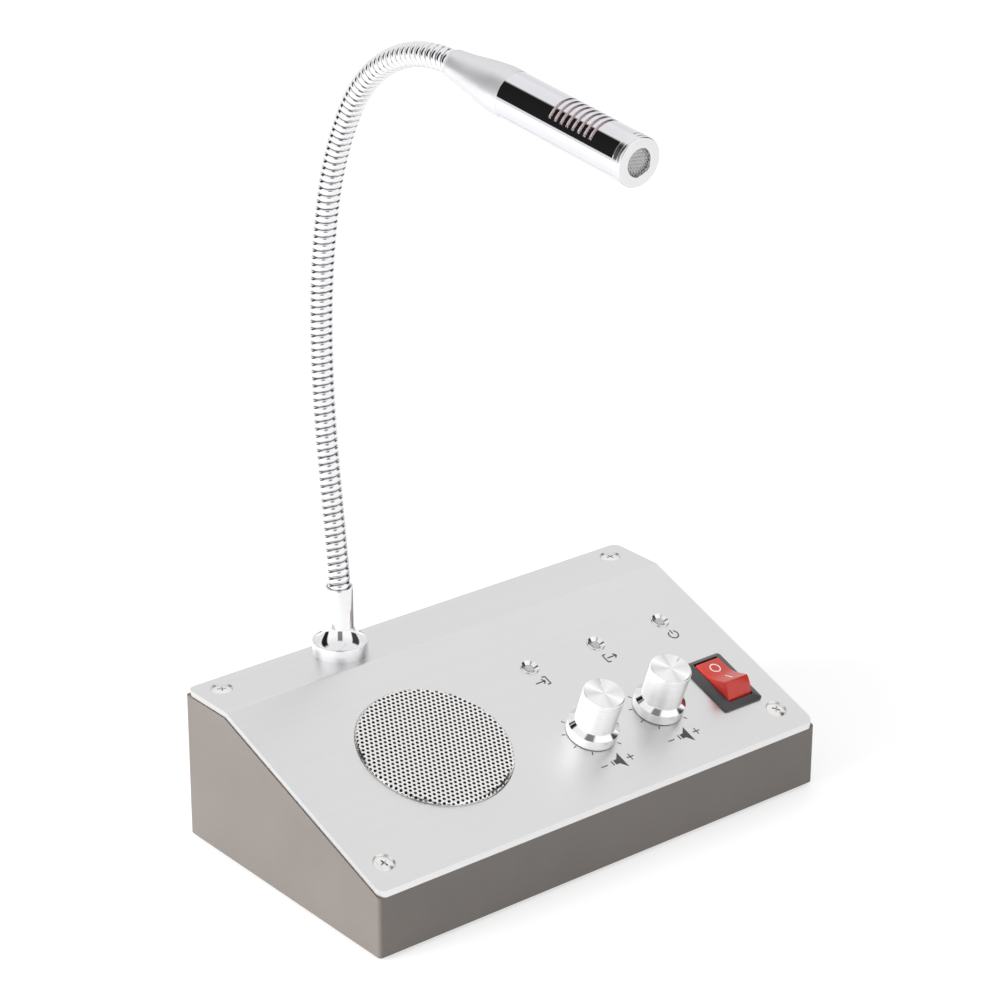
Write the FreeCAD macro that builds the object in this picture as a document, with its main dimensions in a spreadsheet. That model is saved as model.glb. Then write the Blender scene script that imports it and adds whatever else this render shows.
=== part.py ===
"""Teller window intercom: a desk case with two volume knobs, a rocker switch, a loudspeaker
and a microphone on a bending neck.

Millimetres. +Z is up, +X is the user's right and -Y is the user's side. The origin lies on
the table, under the middle of the case. Pieces that stand on the sloping panel are modelled
upright and turned with it: there "across" is along X, "up" runs up the slope from the panel's
front edge, and "out" is square to the panel, counted from its upper face.
"""

import FreeCAD, Part
import Sketcher
import math
import os
import types

Vector = FreeCAD.Vector
Placement = FreeCAD.Placement
Rotation = FreeCAD.Rotation
X_AXIS = Vector(1, 0, 0)
Z_AXIS = Vector(0, 0, 1)

SIZES = (
    # case
    ("case_width", 166.0),
    ("case_depth", 93.0),
    ("front_height", 19.0),
    ("slope_angle", 20.1),
    ("rear_flat", 19.7),
    ("case_wall", 2.2),
    ("case_floor", 2.4),
    ("case_corner", 1.2),
    ("case_edge", 0.4),
    ("base_pad", 1.0),
    ("pad_inset", 7.0),
    ("pad_corner", 6.0),
    ("boss_radius", 3.6),
    ("post_height", 4.0),
    ("post_radius", 3.0),
    # panel
    ("sheet", 1.9),
    ("panel_inset", 0.3),
    ("panel_corner", 2.6),
    ("panel_fold", 3.0),
    # screws
    ("screw_inset", 8.2),
    ("front_screw_up", 9.1),
    ("rear_screw_inset", 6.8),
    ("screw_core", 1.45),
    ("screw_head", 2.9),
    ("screw_length", 9.0),
    ("screw_hole", 1.6),
    ("dimple_radius", 3.35),
    ("cross_length", 3.3),
    ("cross_width", 0.8),
    ("cross_depth", 1.1),
    # loudspeaker
    ("speaker_inset", 49.0),
    ("speaker_up", 40.2),
    ("grille_step", 1.9),
    ("grille_rise", 1.3),
    ("grille_sheet", 0.6),
    ("grille_round", 1.3),
    ("flange_lip", 0.4),
    ("grille_hole", 0.75),
    ("grille_pitch", 2.4),
    ("gasket", 1.0),
    ("speaker_radius", 25.6),
    ("speaker_depth", 11.0),
    ("frame_sheet", 0.8),
    ("speaker_rim", 5.1),
    ("coil_radius", 6.4),
    ("cap_rise", 2.0),
    ("plate_radius", 14.0),
    ("plate", 2.0),
    ("magnet_radius", 16.0),
    ("magnet_height", 5.0),
    ("stud_radius", 1.5),
    ("stud_reach", 3.4),
    ("clip_width", 6.0),
    ("clip_sheet", 1.0),
    # neck
    ("neck_side", 50.0),
    ("neck_inset", 8.4),
    ("rim_radius", 8.4),
    ("rim_height", 3.3),
    ("flare_height", 5.4),
    ("column_radius", 4.25),
    ("column_height", 21.5),
    ("spigot_radius", 4.0),
    ("spigot_length", 11.0),
    ("neck_washer_radius", 6.0),
    ("neck_nut_flats", 11.5),
    ("socket_depth", 7.0),
    ("lead_bore", 2.2),
    ("hose_radius", 3.5),
    ("hose_root", 3.1),
    ("hose_bore", 2.0),
    ("hose_pitch", 2.2),
    ("hose_gap", 0.9),
    ("lean_length", 6.7),
    ("lean_turn", -6.8),
    ("straight_length", 32.7),
    ("bend_length_low", 39.3),
    ("bend_turn_low", 7.5),
    ("bend_length_mid", 40.3),
    ("bend_turn_mid", 11.2),
    ("bend_length_high", 32.2),
    ("bend_turn_high", 18.7),
    ("bend_length_top", 54.3),
    ("bend_turn_top", 66.4),
    # microphone
    ("mic_length", 74.3),
    ("mic_tail_radius", 4.1),
    ("mic_radius", 6.8),
    ("taper_length", 19.2),
    ("seam_place", 25.5),
    ("mic_wall", 0.8),
    ("mic_socket", 5.0),
    ("slot_first", 20.7),
    ("slot_pitch", 2.25),
    ("slot_width", 1.0),
    ("slot_floor", 2.8),
    ("liner_wall", 0.65),
    ("ring_length", 2.9),
    ("ring_front", 1.0),
    ("ring_groove", 1.3),
    ("mouth_radius", 3.75),
    ("mesh_sheet", 0.3),
    ("mesh_pitch", 1.0),
    ("mesh_hole", 0.32),
    ("capsule_radius", 3.0),
    ("capsule_length", 5.0),
    ("boot_length", 8.0),
    # control columns
    ("column_inset", 16.9),
    ("column_pitch", 26.2),
    ("control_up", 25.3),
    ("lamp_up", 55.8),
    # knobs
    ("knob_lift", 0.6),
    ("knob_height", 16.4),
    ("skirt_radius", 7.85),
    ("skirt_height", 2.9),
    ("flare_rise", 1.3),
    ("knob_radius", 6.25),
    ("knob_top_radius", 6.4),
    ("knob_hollow", 6.15),
    ("nut_room", 3.2),
    ("hollow_height", 5.6),
    ("insert_radius", 5.2),
    ("insert_top", 14.0),
    ("shaft_radius", 3.0),
    ("shaft_top", 13.0),
    ("shaft_fit", 0.06),
    ("pot_radius", 8.2),
    ("pot_height", 9.5),
    ("pot_wall", 1.4),
    ("wiper_sheet", 1.0),
    ("bush_radius", 3.45),
    ("bush_top", 5.0),
    ("washer_radius", 5.6),
    ("washer_sheet", 0.5),
    ("pot_nut_flats", 10.0),
    ("pot_nut_height", 2.0),
    # rocker switch
    ("bezel_width", 15.2),
    ("bezel_length", 21.6),
    ("bezel_height", 1.7),
    ("bezel_edge", 0.6),
    ("housing_width", 12.9),
    ("housing_length", 19.0),
    ("housing_depth", 12.0),
    ("rocker_width", 9.3),
    ("rocker_reach", 6.5),
    ("rocker_end", 5.8),
    ("rocker_valley", 4.3),
    ("rocker_keel", 4.4),
    ("rocker_gap", 0.2),
    ("rocker_tilt", 16.8),
    ("pivot_height", -1.4),
    ("pivot_radius", 1.0),
    ("blade_width", 4.8),
    ("blade_sheet", 0.8),
    ("blade_length", 8.0),
    # indicator lamps
    ("lamp_rim", 2.95),
    ("lamp_rim_height", 0.5),
    ("lamp_mouth", 2.5),
    ("lamp_barrel", 2.5),
    ("lamp_barrel_length", 7.0),
    ("lamp_cone_depth", 2.4),
    ("lamp_radius", 1.5),
    ("lamp_flange", 1.9),
    ("lamp_nut_flats", 7.0),
    ("lamp_nut_height", 1.8),
    ("wire_radius", 0.25),
    # board and what stands on it
    ("board_inset", 26.0),
    ("board_width", 71.0),
    ("board_depth", 53.5),
    ("board_sheet", 1.6),
    ("board_gap", 0.8),
    ("board_hole_inset", 4.0),
    ("part_inset", 17.0),
    ("part_pitch", 14.5),
    ("row_inset", 4.0),
    ("row_pitch", 11.0),
    ("chip_length", 20.0),
    ("chip_width", 7.0),
    ("chip_height", 3.6),
    ("header_length", 9.0),
    ("header_width", 6.0),
    ("header_height", 6.4),
    ("capacitor_radius", 4.0),
    ("capacitor_height", 11.0),
    ("sink_height", 14.0),
    ("sink_back", 2.0),
    ("fin_pitch", 3.0),
    ("fin_sheet", 1.2),
    ("fin_reach", 9.0),
    ("jack_inset", 28.0),
    ("jack_pitch", 17.0),
    ("socket_width", 11.0),
    ("power_width", 10.0),
    ("socket_radius", 1.8),
    ("socket_length", 14.0),
    ("socket_bush", 3.0),
    ("power_bush", 4.2),
    ("power_bore", 2.75),
    ("power_length", 9.5),
    ("power_pin", 1.05),
    # fits
    ("fit", 0.1),
    ("running_fit", 0.06),
)

HOSE_COUNT = 8
COLUMN_COUNT = 3
SLOT_COUNT = 8
SIDE_COUNT = 6
FIN_COUNT = 6
RING_COUNT = 2


class Size:
    """A number together with the sheet expression that it comes from."""

    def __init__(self, number, words):
        self.number = float(number)
        self.words = words

    def _joined(self, sign, number, left, right):
        return Size(number, "(%s %s %s)" % (left.words, sign, right.words))

    def __add__(self, other):
        other = as_size(other)
        return self._joined("+", self.number + other.number, self, other)

    def __radd__(self, other):
        return as_size(other) + self

    def __sub__(self, other):
        other = as_size(other)
        return self._joined("-", self.number - other.number, self, other)

    def __rsub__(self, other):
        return as_size(other) - self

    def __mul__(self, other):
        other = as_size(other)
        return self._joined("*", self.number * other.number, self, other)

    def __rmul__(self, other):
        return as_size(other) * self

    def __truediv__(self, other):
        other = as_size(other)
        return self._joined("/", self.number / other.number, self, other)

    def __neg__(self):
        return Size(-self.number, "(-%s)" % self.words)


def as_size(value):
    """A plain number or a Size, as a Size."""
    if isinstance(value, Size):
        return value
    return Size(value, "%.9f" % value)


def sine(angle):
    """Sine of an angle in degrees."""
    return Size(math.sin(math.radians(angle.number)), "sin(%s)" % angle.words)


def cosine(angle):
    """Cosine of an angle in degrees."""
    return Size(math.cos(math.radians(angle.number)), "cos(%s)" % angle.words)


doc = FreeCAD.newDocument("teller_intercom")
sheet = doc.addObject("Spreadsheet::Sheet", "Sizes")
for line, (alias, amount) in enumerate(SIZES, start=1):
    sheet.set("A%d" % line, alias)
    sheet.set("B%d" % line, str(amount))
    sheet.setAlias("B%d" % line, alias)
doc.recompute()
S = types.SimpleNamespace(**{alias: Size(amount, "Sizes." + alias) for alias, amount in SIZES})

# ---------------------------------------------------------------- places shared by the pieces

SLOPE_SINE = sine(S.slope_angle)
SLOPE_COSINE = cosine(S.slope_angle)
HALF_WIDTH = S.case_width / 2
HALF_DEPTH = S.case_depth / 2
CASE_BOTTOM = S.base_pad
FLOOR_TOP = CASE_BOTTOM + S.case_floor
FRONT_TOP = CASE_BOTTOM + S.front_height
FOLD_Y = HALF_DEPTH - S.rear_flat
REAR_TOP = FRONT_TOP + (S.case_depth - S.rear_flat) * SLOPE_SINE / SLOPE_COSINE
FLAT_TOP = REAR_TOP + S.sheet
SLOPE_Z = FRONT_TOP + S.sheet / SLOPE_COSINE
BOSS_UP = S.front_screw_up + S.sheet * SLOPE_SINE / SLOPE_COSINE
REAR_SCREW_Y = HALF_DEPTH - S.rear_screw_inset
NECK_Y = HALF_DEPTH - S.neck_inset
COLUMN_TOP = FLAT_TOP + S.column_height
SCREW_ACROSS = HALF_WIDTH - S.screw_inset
SPEAKER_ACROSS = S.speaker_inset - HALF_WIDTH
NECK_ACROSS = S.neck_side - HALF_WIDTH
GRILLE_RADIUS = S.speaker_radius - S.grille_step
GRILLE_FLANGE = S.speaker_radius + S.flange_lip
CONE_RADIUS = S.speaker_radius - S.speaker_rim
STUD_CIRCLE = S.speaker_radius + S.stud_reach
BOARD_RIGHT = HALF_WIDTH - S.board_inset
BOARD_LEFT = BOARD_RIGHT - S.board_width
BOARD_REAR = HALF_DEPTH - S.case_wall - S.board_gap
BOARD_FRONT = BOARD_REAR - S.board_depth
BOARD_BOTTOM = FLOOR_TOP + S.post_height
BOARD_TOP = BOARD_BOTTOM + S.board_sheet
REAR_WALL = HALF_DEPTH - S.case_wall


# ---------------------------------------------------------------- drawing helpers


def new_body(name):
    """A PartDesign body whose label is its node's name."""
    body = doc.addObject("PartDesign::Body", name)
    body.Label = name
    return body


def new_sketch(body, plane, lift=0, turn=None, shift=0):
    """A sketch on one of the body's own planes, lifted off it, turned about X and shifted in Y."""
    sketch = body.newObject("Sketcher::SketchObject", body.Name + "_sketch")
    support = [item for item in body.Origin.OriginFeatures if item.Role == plane][0]
    sketch.AttachmentSupport = (support, [""])
    sketch.MapMode = "FlatFace"
    lift, shift = as_size(lift), as_size(shift)
    angle = as_size(turn if turn is not None else 0)
    sketch.AttachmentOffset = Placement(
        Vector(0, shift.number, lift.number), Rotation(X_AXIS, angle.number)
    )
    sketch.setExpression("AttachmentOffset.Base.z", lift.words)
    sketch.setExpression("AttachmentOffset.Base.y", shift.words)
    if turn is not None:
        sketch.setExpression("AttachmentOffset.Rotation.Angle", angle.words)
    return sketch


def hold(sketch, item, end, across, up):
    """Fix a point of a sketch at its two distances from the sketch's origin."""
    for kind, axis, place in (("DistanceX", -2, across), ("DistanceY", -1, up)):
        if place.number == 0:
            sketch.addConstraint(Sketcher.Constraint("PointOnObject", item, end, axis))
            continue
        held = Sketcher.Constraint(kind, -1, 1, item, end, place.number)
        number = sketch.addConstraint(held)
        sketch.setExpression("Constraints[%d]" % number, place.words)


def arc_through(start, end, radius):
    """The shorter arc from start to end. A positive radius puts its centre on the left."""
    chord = end - start
    middle = (start + end) / 2
    side = Vector(-chord.y, chord.x, 0).normalize()
    size = abs(radius)
    rise = math.sqrt(max(size**2 - (chord.Length / 2) ** 2, 0.0))
    sign = 1 if radius > 0 else -1
    centre = middle + side * (sign * rise)
    top = centre - side * (sign * size)
    return Part.Arc(start, top, end)


def draw(sketch, corners):
    """A closed outline. A corner is (across, up), or (across, up, radius) to start an arc."""
    held = [(as_size(corner[0]), as_size(corner[1])) for corner in corners]
    points = [Vector(across.number, up.number, 0) for across, up in held]
    count = len(corners)
    first = sketch.GeometryCount
    for number, corner in enumerate(corners):
        start, end = points[number], points[(number + 1) % count]
        if len(corner) == 3:
            sketch.addGeometry(arc_through(start, end, as_size(corner[2]).number))
        else:
            sketch.addGeometry(Part.LineSegment(start, end))
    for number, corner in enumerate(corners):
        item, after = first + number, first + (number + 1) % count
        backward = len(corner) == 3 and as_size(corner[2]).number < 0
        ends = (2, 1) if backward else (1, 2)
        next_backward = len(corners[(number + 1) % count]) == 3
        next_backward = next_backward and as_size(corners[(number + 1) % count][2]).number < 0
        start_of_next = 2 if next_backward else 1
        sketch.addConstraint(Sketcher.Constraint("Coincident", item, ends[1], after, start_of_next))
        hold(sketch, item, ends[0], *held[number])
        if len(corner) == 3:
            radius = as_size(corner[2])
            size = radius if radius.number > 0 else -radius
            held_radius = sketch.addConstraint(Sketcher.Constraint("Radius", item, size.number))
            sketch.setExpression("Constraints[%d]" % held_radius, size.words)


def draw_circle(sketch, across, up, radius):
    """A circle held by its centre and radius."""
    across, up, radius = as_size(across), as_size(up), as_size(radius)
    centre = Vector(across.number, up.number, 0)
    item = sketch.addGeometry(Part.Circle(centre, Z_AXIS, radius.number))
    hold(sketch, item, 3, across, up)
    number = sketch.addConstraint(Sketcher.Constraint("Radius", item, radius.number))
    sketch.setExpression("Constraints[%d]" % number, radius.words)


def draw_box(sketch, left, right, low, high):
    """An upright rectangle."""
    draw(sketch, [(left, low), (right, low), (right, high), (left, high)])


def draw_hexagon(sketch, flats):
    """A hexagon about the sketch's origin, flats apart, with two of its corners across."""
    reach = flats / 2 / math.cos(math.pi / SIDE_COUNT)
    corners = []
    for number in range(SIDE_COUNT):
        angle = 2 * math.pi * number / SIDE_COUNT
        across, up = round(math.cos(angle), 12), round(math.sin(angle), 12)
        corners.append((reach * across, reach * up if up else 0))
    draw(sketch, corners)


def feature(body, kind, sketch, length=None, both=False, back=False):
    """A pad or pocket of a sketch, or a revolution about its upright axis."""
    item = body.newObject("PartDesign::" + kind, body.Name + "_" + kind.lower())
    item.Profile = sketch
    if kind in ("Revolution", "Groove"):
        item.ReferenceAxis = (sketch, ["V_Axis"])
        item.Angle = 360
    else:
        item.SideType = "Symmetric" if both else "One side"
        item.Reversed = back
        length = as_size(length)
        item.Length = length.number
        item.setExpression("Length", length.words)
    body.Tip = item
    return item


def pad(body, sketch, length, both=False, back=False):
    """Add the sketch's shape, lifted by length."""
    return feature(body, "Pad", sketch, length, both, back)


def pocket(body, sketch, length, both=False, back=False):
    """Cut the sketch's shape, to a depth of length, and check that it cut something."""
    doc.recompute()
    before = body.Shape.Volume
    item = feature(body, "Pocket", sketch, length, both, back)
    doc.recompute()
    if not item.Shape.Volume < before:
        raise ValueError("%s cuts nothing" % item.Name)
    return item


def dome_radius(half, rise):
    """Radius of the ball whose cap is this wide, counted from its middle, and this high."""
    return (half * half + rise * rise) / (2 * rise)


def turned(name, corners):
    """A body turned about Z from the outline of its section."""
    body = new_body(name)
    sketch = new_sketch(body, "XZ_Plane")
    draw(sketch, corners)
    feature(body, "Revolution", sketch)
    return body


def plate(name, length, low=0):
    """A new body and the sketch of its base, which is then padded by length from low."""
    body = new_body(name)
    sketch = new_sketch(body, "XY_Plane", lift=low)
    pad(body, sketch, length)
    return body, sketch


def edges_where(item, test):
    """Names of the edges whose two ends and middle pass a test."""
    names = []
    for number, edge in enumerate(item.Shape.Edges, start=1):
        middle = edge.valueAt((edge.FirstParameter + edge.LastParameter) / 2)
        if test([vertex.Point for vertex in edge.Vertexes], middle):
            names.append("Edge%d" % number)
    return names


def dress(body, kind, base, names, amount):
    """Round or bevel the named edges of a feature."""
    item = body.newObject("PartDesign::" + kind, body.Name + "_" + kind.lower())
    item.Base = (base, names)
    field = "Radius" if kind == "Fillet" else "Size"
    setattr(item, field, amount.number)
    item.setExpression(field, amount.words)
    body.Tip = item
    return item


def place(item, across, along, up, turn=0):
    """Put a piece at a point, turned about X by an angle."""
    across, along, up, turn = (as_size(value) for value in (across, along, up, turn))
    item.Placement = Placement(
        Vector(across.number, along.number, up.number), Rotation(X_AXIS, turn.number)
    )
    item.setExpression("Placement.Base.x", across.words)
    item.setExpression("Placement.Base.y", along.words)
    item.setExpression("Placement.Base.z", up.words)
    item.setExpression("Placement.Rotation.Angle", turn.words)


def seat_on_slope(item, across, up, out=0, turn=0):
    """Put a piece on the sloping panel: up the slope, and out from its upper face."""
    up, out = as_size(up), as_size(out)
    along = up * SLOPE_COSINE - out * SLOPE_SINE - HALF_DEPTH
    height = SLOPE_Z + up * SLOPE_SINE + out * SLOPE_COSINE
    place(item, across, along, height, S.slope_angle + turn)


def slope_sketch(body):
    """A sketch on the panel's sloping upper face, counted from the face's front edge."""
    return new_sketch(body, "XY_Plane", lift=SLOPE_Z, turn=S.slope_angle, shift=-HALF_DEPTH)


def group(name, master, seats):
    """Copies of one piece as one node. A seat is a function that places one copy."""
    links = []
    for number, seat in enumerate(seats, start=1):
        link = doc.addObject("App::Link", "%s_%d" % (name, number))
        link.LinkedObject = master
        seat(link)
        links.append(link)
    item = doc.addObject("Part::Compound", name)
    item.Label = name
    item.Links = links
    return item


def honeycomb(field, hole, pitch):
    """Centres of the holes of a honeycomb that lie wholly inside the radius of its field."""
    row_step = pitch * math.sqrt(3) / 2
    rows = int(field / row_step)
    columns = int(field / pitch) + 1
    centres = []
    for row in range(-rows, rows + 1):
        shift = pitch / 2 if row % 2 else 0.0
        for column in range(-columns, columns + 1):
            centre = Vector(column * pitch + shift, row * row_step, 0)
            if centre.Length + hole < field:
                centres.append(centre)
    return centres


def drill(solid, centres, radius, low, depth):
    """The solid less a row of upright holes."""
    lift = Vector(0, 0, low)
    drills = [Part.makeCylinder(radius, depth, centre + lift) for centre in centres]
    return solid.cut(Part.makeCompound(drills))


# ---------------------------------------------------------------- neck line

NECK_RUNS = (
    (S.lean_length, S.lean_turn),
    (S.straight_length, as_size(0)),
    (S.bend_length_low, S.bend_turn_low),
    (S.bend_length_mid, S.bend_turn_mid),
    (S.bend_length_high, S.bend_turn_high),
    (S.bend_length_top, S.bend_turn_top),
)
NECK_TOTAL = sum(length.number for length, turn in NECK_RUNS)


def neck_point(distance):
    """Y, Z and heading of the neck's line. The heading is in radians, forward from upright."""
    along, height, heading = NECK_Y.number, COLUMN_TOP.number, 0.0
    left = distance
    for number, (length, turn) in enumerate(NECK_RUNS):
        last = number == len(NECK_RUNS) - 1
        step = left if last else min(max(left, 0.0), length.number)
        if number == 0 and left < 0:
            return along, height + left, heading
        if last and left > length.number:
            step = length.number
        bend = math.radians(turn.number) * step / length.number
        chord = step if abs(bend) < 1e-9 else step * math.sin(bend / 2) / (bend / 2)
        along -= chord * math.sin(heading + bend / 2)
        height += chord * math.cos(heading + bend / 2)
        heading += bend
        left -= step
        if left <= 0:
            return along, height, heading
    return along - left * math.sin(heading), height + left * math.cos(heading), heading


def neck_placement(distance):
    """The neck's line at a distance, as a placement whose Z runs along the line."""
    along, height, heading = neck_point(distance)
    turn = Rotation(X_AXIS, math.degrees(heading))
    return Placement(Vector(NECK_ACROSS.number, along, height), turn)


def neck_ring(distance, radius):
    """A circle square to the neck's line."""
    ring = Part.Wire(Part.makeCircle(radius))
    ring.Placement = neck_placement(distance)
    return ring


def hose_length(name, start, end):
    """One length of the gooseneck: a ribbed outside and a plain bore."""
    turns = max(1, round((end - start) / S.hose_pitch.number))
    steps = turns * RING_COUNT
    outside = []
    inside = []
    for step in range(steps + 1):
        distance = start + (end - start) * step / steps
        radius = S.hose_radius if step % RING_COUNT else S.hose_root
        outside.append(neck_ring(distance, radius.number))
        inside.append(neck_ring(distance, S.hose_bore.number))
    tube = Part.makeLoft(outside, True, True).cut(Part.makeLoft(inside, True, True))
    item = doc.addObject("Part::Feature", name)
    item.Label = name
    item.Shape = tube
    return item


# ---------------------------------------------------------------- case


def case_tub():
    """The moulded tub: floor, walls, screw bosses, board posts and jack holes."""
    body = new_body("case_tub")
    side = new_sketch(body, "YZ_Plane")
    draw(
        side,
        [
            (-HALF_DEPTH, CASE_BOTTOM),
            (HALF_DEPTH, CASE_BOTTOM),
            (HALF_DEPTH, REAR_TOP),
            (FOLD_Y, REAR_TOP),
            (-HALF_DEPTH, FRONT_TOP),
        ],
    )
    block = pad(body, side, S.case_width, both=True)
    doc.recompute()
    half, front, low = HALF_WIDTH.number, HALF_DEPTH.number, CASE_BOTTOM.number

    def upright(ends, middle):
        return abs(abs(middle.x) - half) < 1e-6 and abs(abs(middle.y) - front) < 1e-6

    corners = dress(body, "Fillet", block, edges_where(block, upright), S.case_corner)
    doc.recompute()

    def bottom(ends, middle):
        return abs(middle.z - low) < 1e-6

    dress(body, "Fillet", corners, edges_where(corners, bottom), S.case_edge)

    hollow = new_sketch(body, "YZ_Plane")
    above = REAR_TOP + S.sheet
    inner = HALF_DEPTH - S.case_wall
    draw_box(hollow, -inner, inner, FLOOR_TOP, above)
    pocket(body, hollow, S.case_width - 2 * S.case_wall, both=True)

    bosses = new_sketch(body, "XY_Plane", FRONT_TOP, S.slope_angle, -HALF_DEPTH)
    for side_sign in (-1, 1):
        draw_circle(bosses, SCREW_ACROSS * side_sign, BOSS_UP, S.boss_radius)
    pad(body, bosses, FRONT_TOP + S.case_floor, back=True)
    bosses = new_sketch(body, "XY_Plane", lift=REAR_TOP)
    for side_sign in (-1, 1):
        draw_circle(bosses, SCREW_ACROSS * side_sign, REAR_SCREW_Y, S.boss_radius)
    pad(body, bosses, REAR_TOP - CASE_BOTTOM, back=True)

    posts = new_sketch(body, "XY_Plane", lift=CASE_BOTTOM)
    for across, along in board_hole_places():
        draw_circle(posts, across, along, S.post_radius)
    pad(body, posts, S.case_floor + S.post_height)

    under = new_sketch(body, "XY_Plane", lift=CASE_BOTTOM)
    draw_box(under, -HALF_WIDTH, HALF_WIDTH, -HALF_DEPTH, HALF_DEPTH)
    pocket(body, under, S.case_depth)

    screws = new_sketch(body, "XY_Plane", FRONT_TOP, S.slope_angle, -HALF_DEPTH)
    for side_sign in (-1, 1):
        draw_circle(screws, SCREW_ACROSS * side_sign, BOSS_UP, S.screw_core + S.running_fit)
    pocket(body, screws, S.screw_length + S.screw_hole)
    screws = new_sketch(body, "XY_Plane", lift=REAR_TOP)
    for side_sign in (-1, 1):
        draw_circle(screws, SCREW_ACROSS * side_sign, REAR_SCREW_Y, S.screw_core + S.running_fit)
    pocket(body, screws, S.screw_length + S.screw_hole)
    screws = new_sketch(body, "XY_Plane", lift=BOARD_BOTTOM)
    for across, along in board_hole_places():
        draw_circle(screws, across, along, S.screw_core + S.running_fit)
    pocket(body, screws, S.post_height)

    rear = new_sketch(body, "XZ_Plane", lift=-HALF_DEPTH)
    draw_circle(rear, jack_across(0), power_centre(), S.power_bush + S.fit)
    for number in (1, 2):
        draw_circle(rear, jack_across(number), socket_centre(), S.socket_bush + S.fit)
    pocket(body, rear, 3 * S.case_wall, both=True)
    return body


def board_hole_places():
    """Centres of the board's four fixing holes."""
    left = BOARD_LEFT + S.board_hole_inset
    right = BOARD_RIGHT - S.board_hole_inset
    front = BOARD_FRONT + S.board_hole_inset
    rear = BOARD_REAR - S.board_hole_inset - S.socket_length - S.case_wall
    return [(left, front), (right, front), (left, rear), (right, rear)]


def jack_across(number):
    """Where the jacks stand along the rear wall, from the left."""
    return BOARD_LEFT + S.jack_inset + S.jack_pitch * number


def power_centre():
    """Height of the power jack's axis."""
    return BOARD_TOP + S.power_bush + S.case_wall


def socket_centre():
    """Height of the audio jacks' axes."""
    return BOARD_TOP + S.socket_bush + S.board_gap


def base_pad():
    """The thin rubber sheet under the case that keeps it from sliding."""
    body, sketch = plate("base_pad", S.base_pad)
    across, along = HALF_WIDTH - S.pad_inset, HALF_DEPTH - S.pad_inset
    draw_box(sketch, -across, across, -along, along)
    block = body.Tip
    doc.recompute()
    side, front = across.number, along.number

    def upright(ends, middle):
        return abs(abs(middle.x) - side) < 1e-6 and abs(abs(middle.y) - front) < 1e-6

    dress(body, "Fillet", block, edges_where(block, upright), S.pad_corner)
    return body


def top_panel():
    """The folded sheet: a flat at the rear, the long slope in front, and four studs below."""
    body = new_body("top_panel")
    side = new_sketch(body, "YZ_Plane")
    half_angle = S.slope_angle / 2
    bend = S.sheet * sine(half_angle) / cosine(half_angle)
    draw(
        side,
        [
            (-HALF_DEPTH, FRONT_TOP),
            (FOLD_Y, REAR_TOP),
            (HALF_DEPTH - S.panel_inset, REAR_TOP),
            (HALF_DEPTH - S.panel_inset, FLAT_TOP),
            (FOLD_Y - bend, FLAT_TOP),
            (-HALF_DEPTH, SLOPE_Z),
        ],
    )
    block = pad(body, side, S.case_width - 2 * S.panel_inset, both=True)
    doc.recompute()
    edge = (HALF_WIDTH - S.panel_inset).number
    fold = (FOLD_Y - bend).number

    thickness = (S.sheet.number, (S.sheet / SLOPE_COSINE).number)

    def corner(ends, middle):
        if abs(abs(middle.x) - edge) > 1e-6 or len(ends) < 2:
            return False
        length = (ends[0] - ends[1]).Length
        return any(abs(length - across) < 1e-6 for across in thickness)

    rounded = dress(body, "Fillet", block, edges_where(block, corner), S.panel_corner)
    doc.recompute()

    def top_fold(ends, middle):
        return abs(middle.x) < 1e-6 and abs(middle.y - fold) < 1e-6

    dress(body, "Fillet", rounded, edges_where(rounded, top_fold), S.panel_fold)
    doc.recompute()

    cuts = slope_sketch(body)
    draw_circle(cuts, SPEAKER_ACROSS, S.speaker_up, GRILLE_RADIUS + S.fit)
    for number in range(3):
        draw_circle(cuts, column(number), S.lamp_up, S.lamp_barrel + S.fit)
    for number in range(2):
        draw_circle(cuts, column(number), S.control_up, S.bush_radius + S.fit)
    half_hole = S.housing_width / 2 + S.fit
    reach = S.housing_length / 2 + S.fit
    switch = column(2)
    low, high = S.control_up - reach, S.control_up + reach
    draw_box(cuts, switch - half_hole, switch + half_hole, low, high)
    pocket(body, cuts, 2 * S.sheet)

    cuts = new_sketch(body, "XY_Plane", lift=FLAT_TOP)
    draw_circle(cuts, NECK_ACROSS, NECK_Y, S.spigot_radius + S.fit)
    pocket(body, cuts, 2 * S.sheet)

    studs = slope_sketch(body)
    for across, up in stud_places():
        draw_circle(studs, across, up, S.stud_radius)
    pad(body, studs, S.sheet + stud_length(), back=True)
    for sketch in (slope_sketch(body), new_sketch(body, "XY_Plane", lift=FLAT_TOP)):
        on_slope = sketch.AttachmentOffset.Rotation.Angle > 0
        for side_sign in (-1, 1):
            up = S.front_screw_up if on_slope else REAR_SCREW_Y
            draw_circle(sketch, SCREW_ACROSS * side_sign, up, S.screw_hole)
        doc.recompute()
        hole = body.newObject("PartDesign::Hole", "panel_hole")
        hole.Profile = sketch
        doc.recompute()
        hole.Threaded = False
        hole.Diameter = 2 * S.screw_hole.number
        hole.setExpression("Diameter", (2 * S.screw_hole).words)
        hole.DepthType = "Dimension"
        hole.Depth = 3 * S.sheet.number
        hole.setExpression("Depth", (3 * S.sheet).words)
        hole.DrillPoint = "Flat"
        hole.HoleCutType = "Countersink"
        hole.HoleCutCustomValues = True
        hole.HoleCutDiameter = 2 * S.dimple_radius.number
        hole.setExpression("HoleCutDiameter", (2 * S.dimple_radius).words)
        hole.HoleCutCountersinkAngle = 90
        body.Tip = hole
    return body


def column(number):
    """Where a column of controls lies across the panel, from the left."""
    return HALF_WIDTH - S.column_inset - S.column_pitch * (COLUMN_COUNT - 1 - number)


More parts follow.
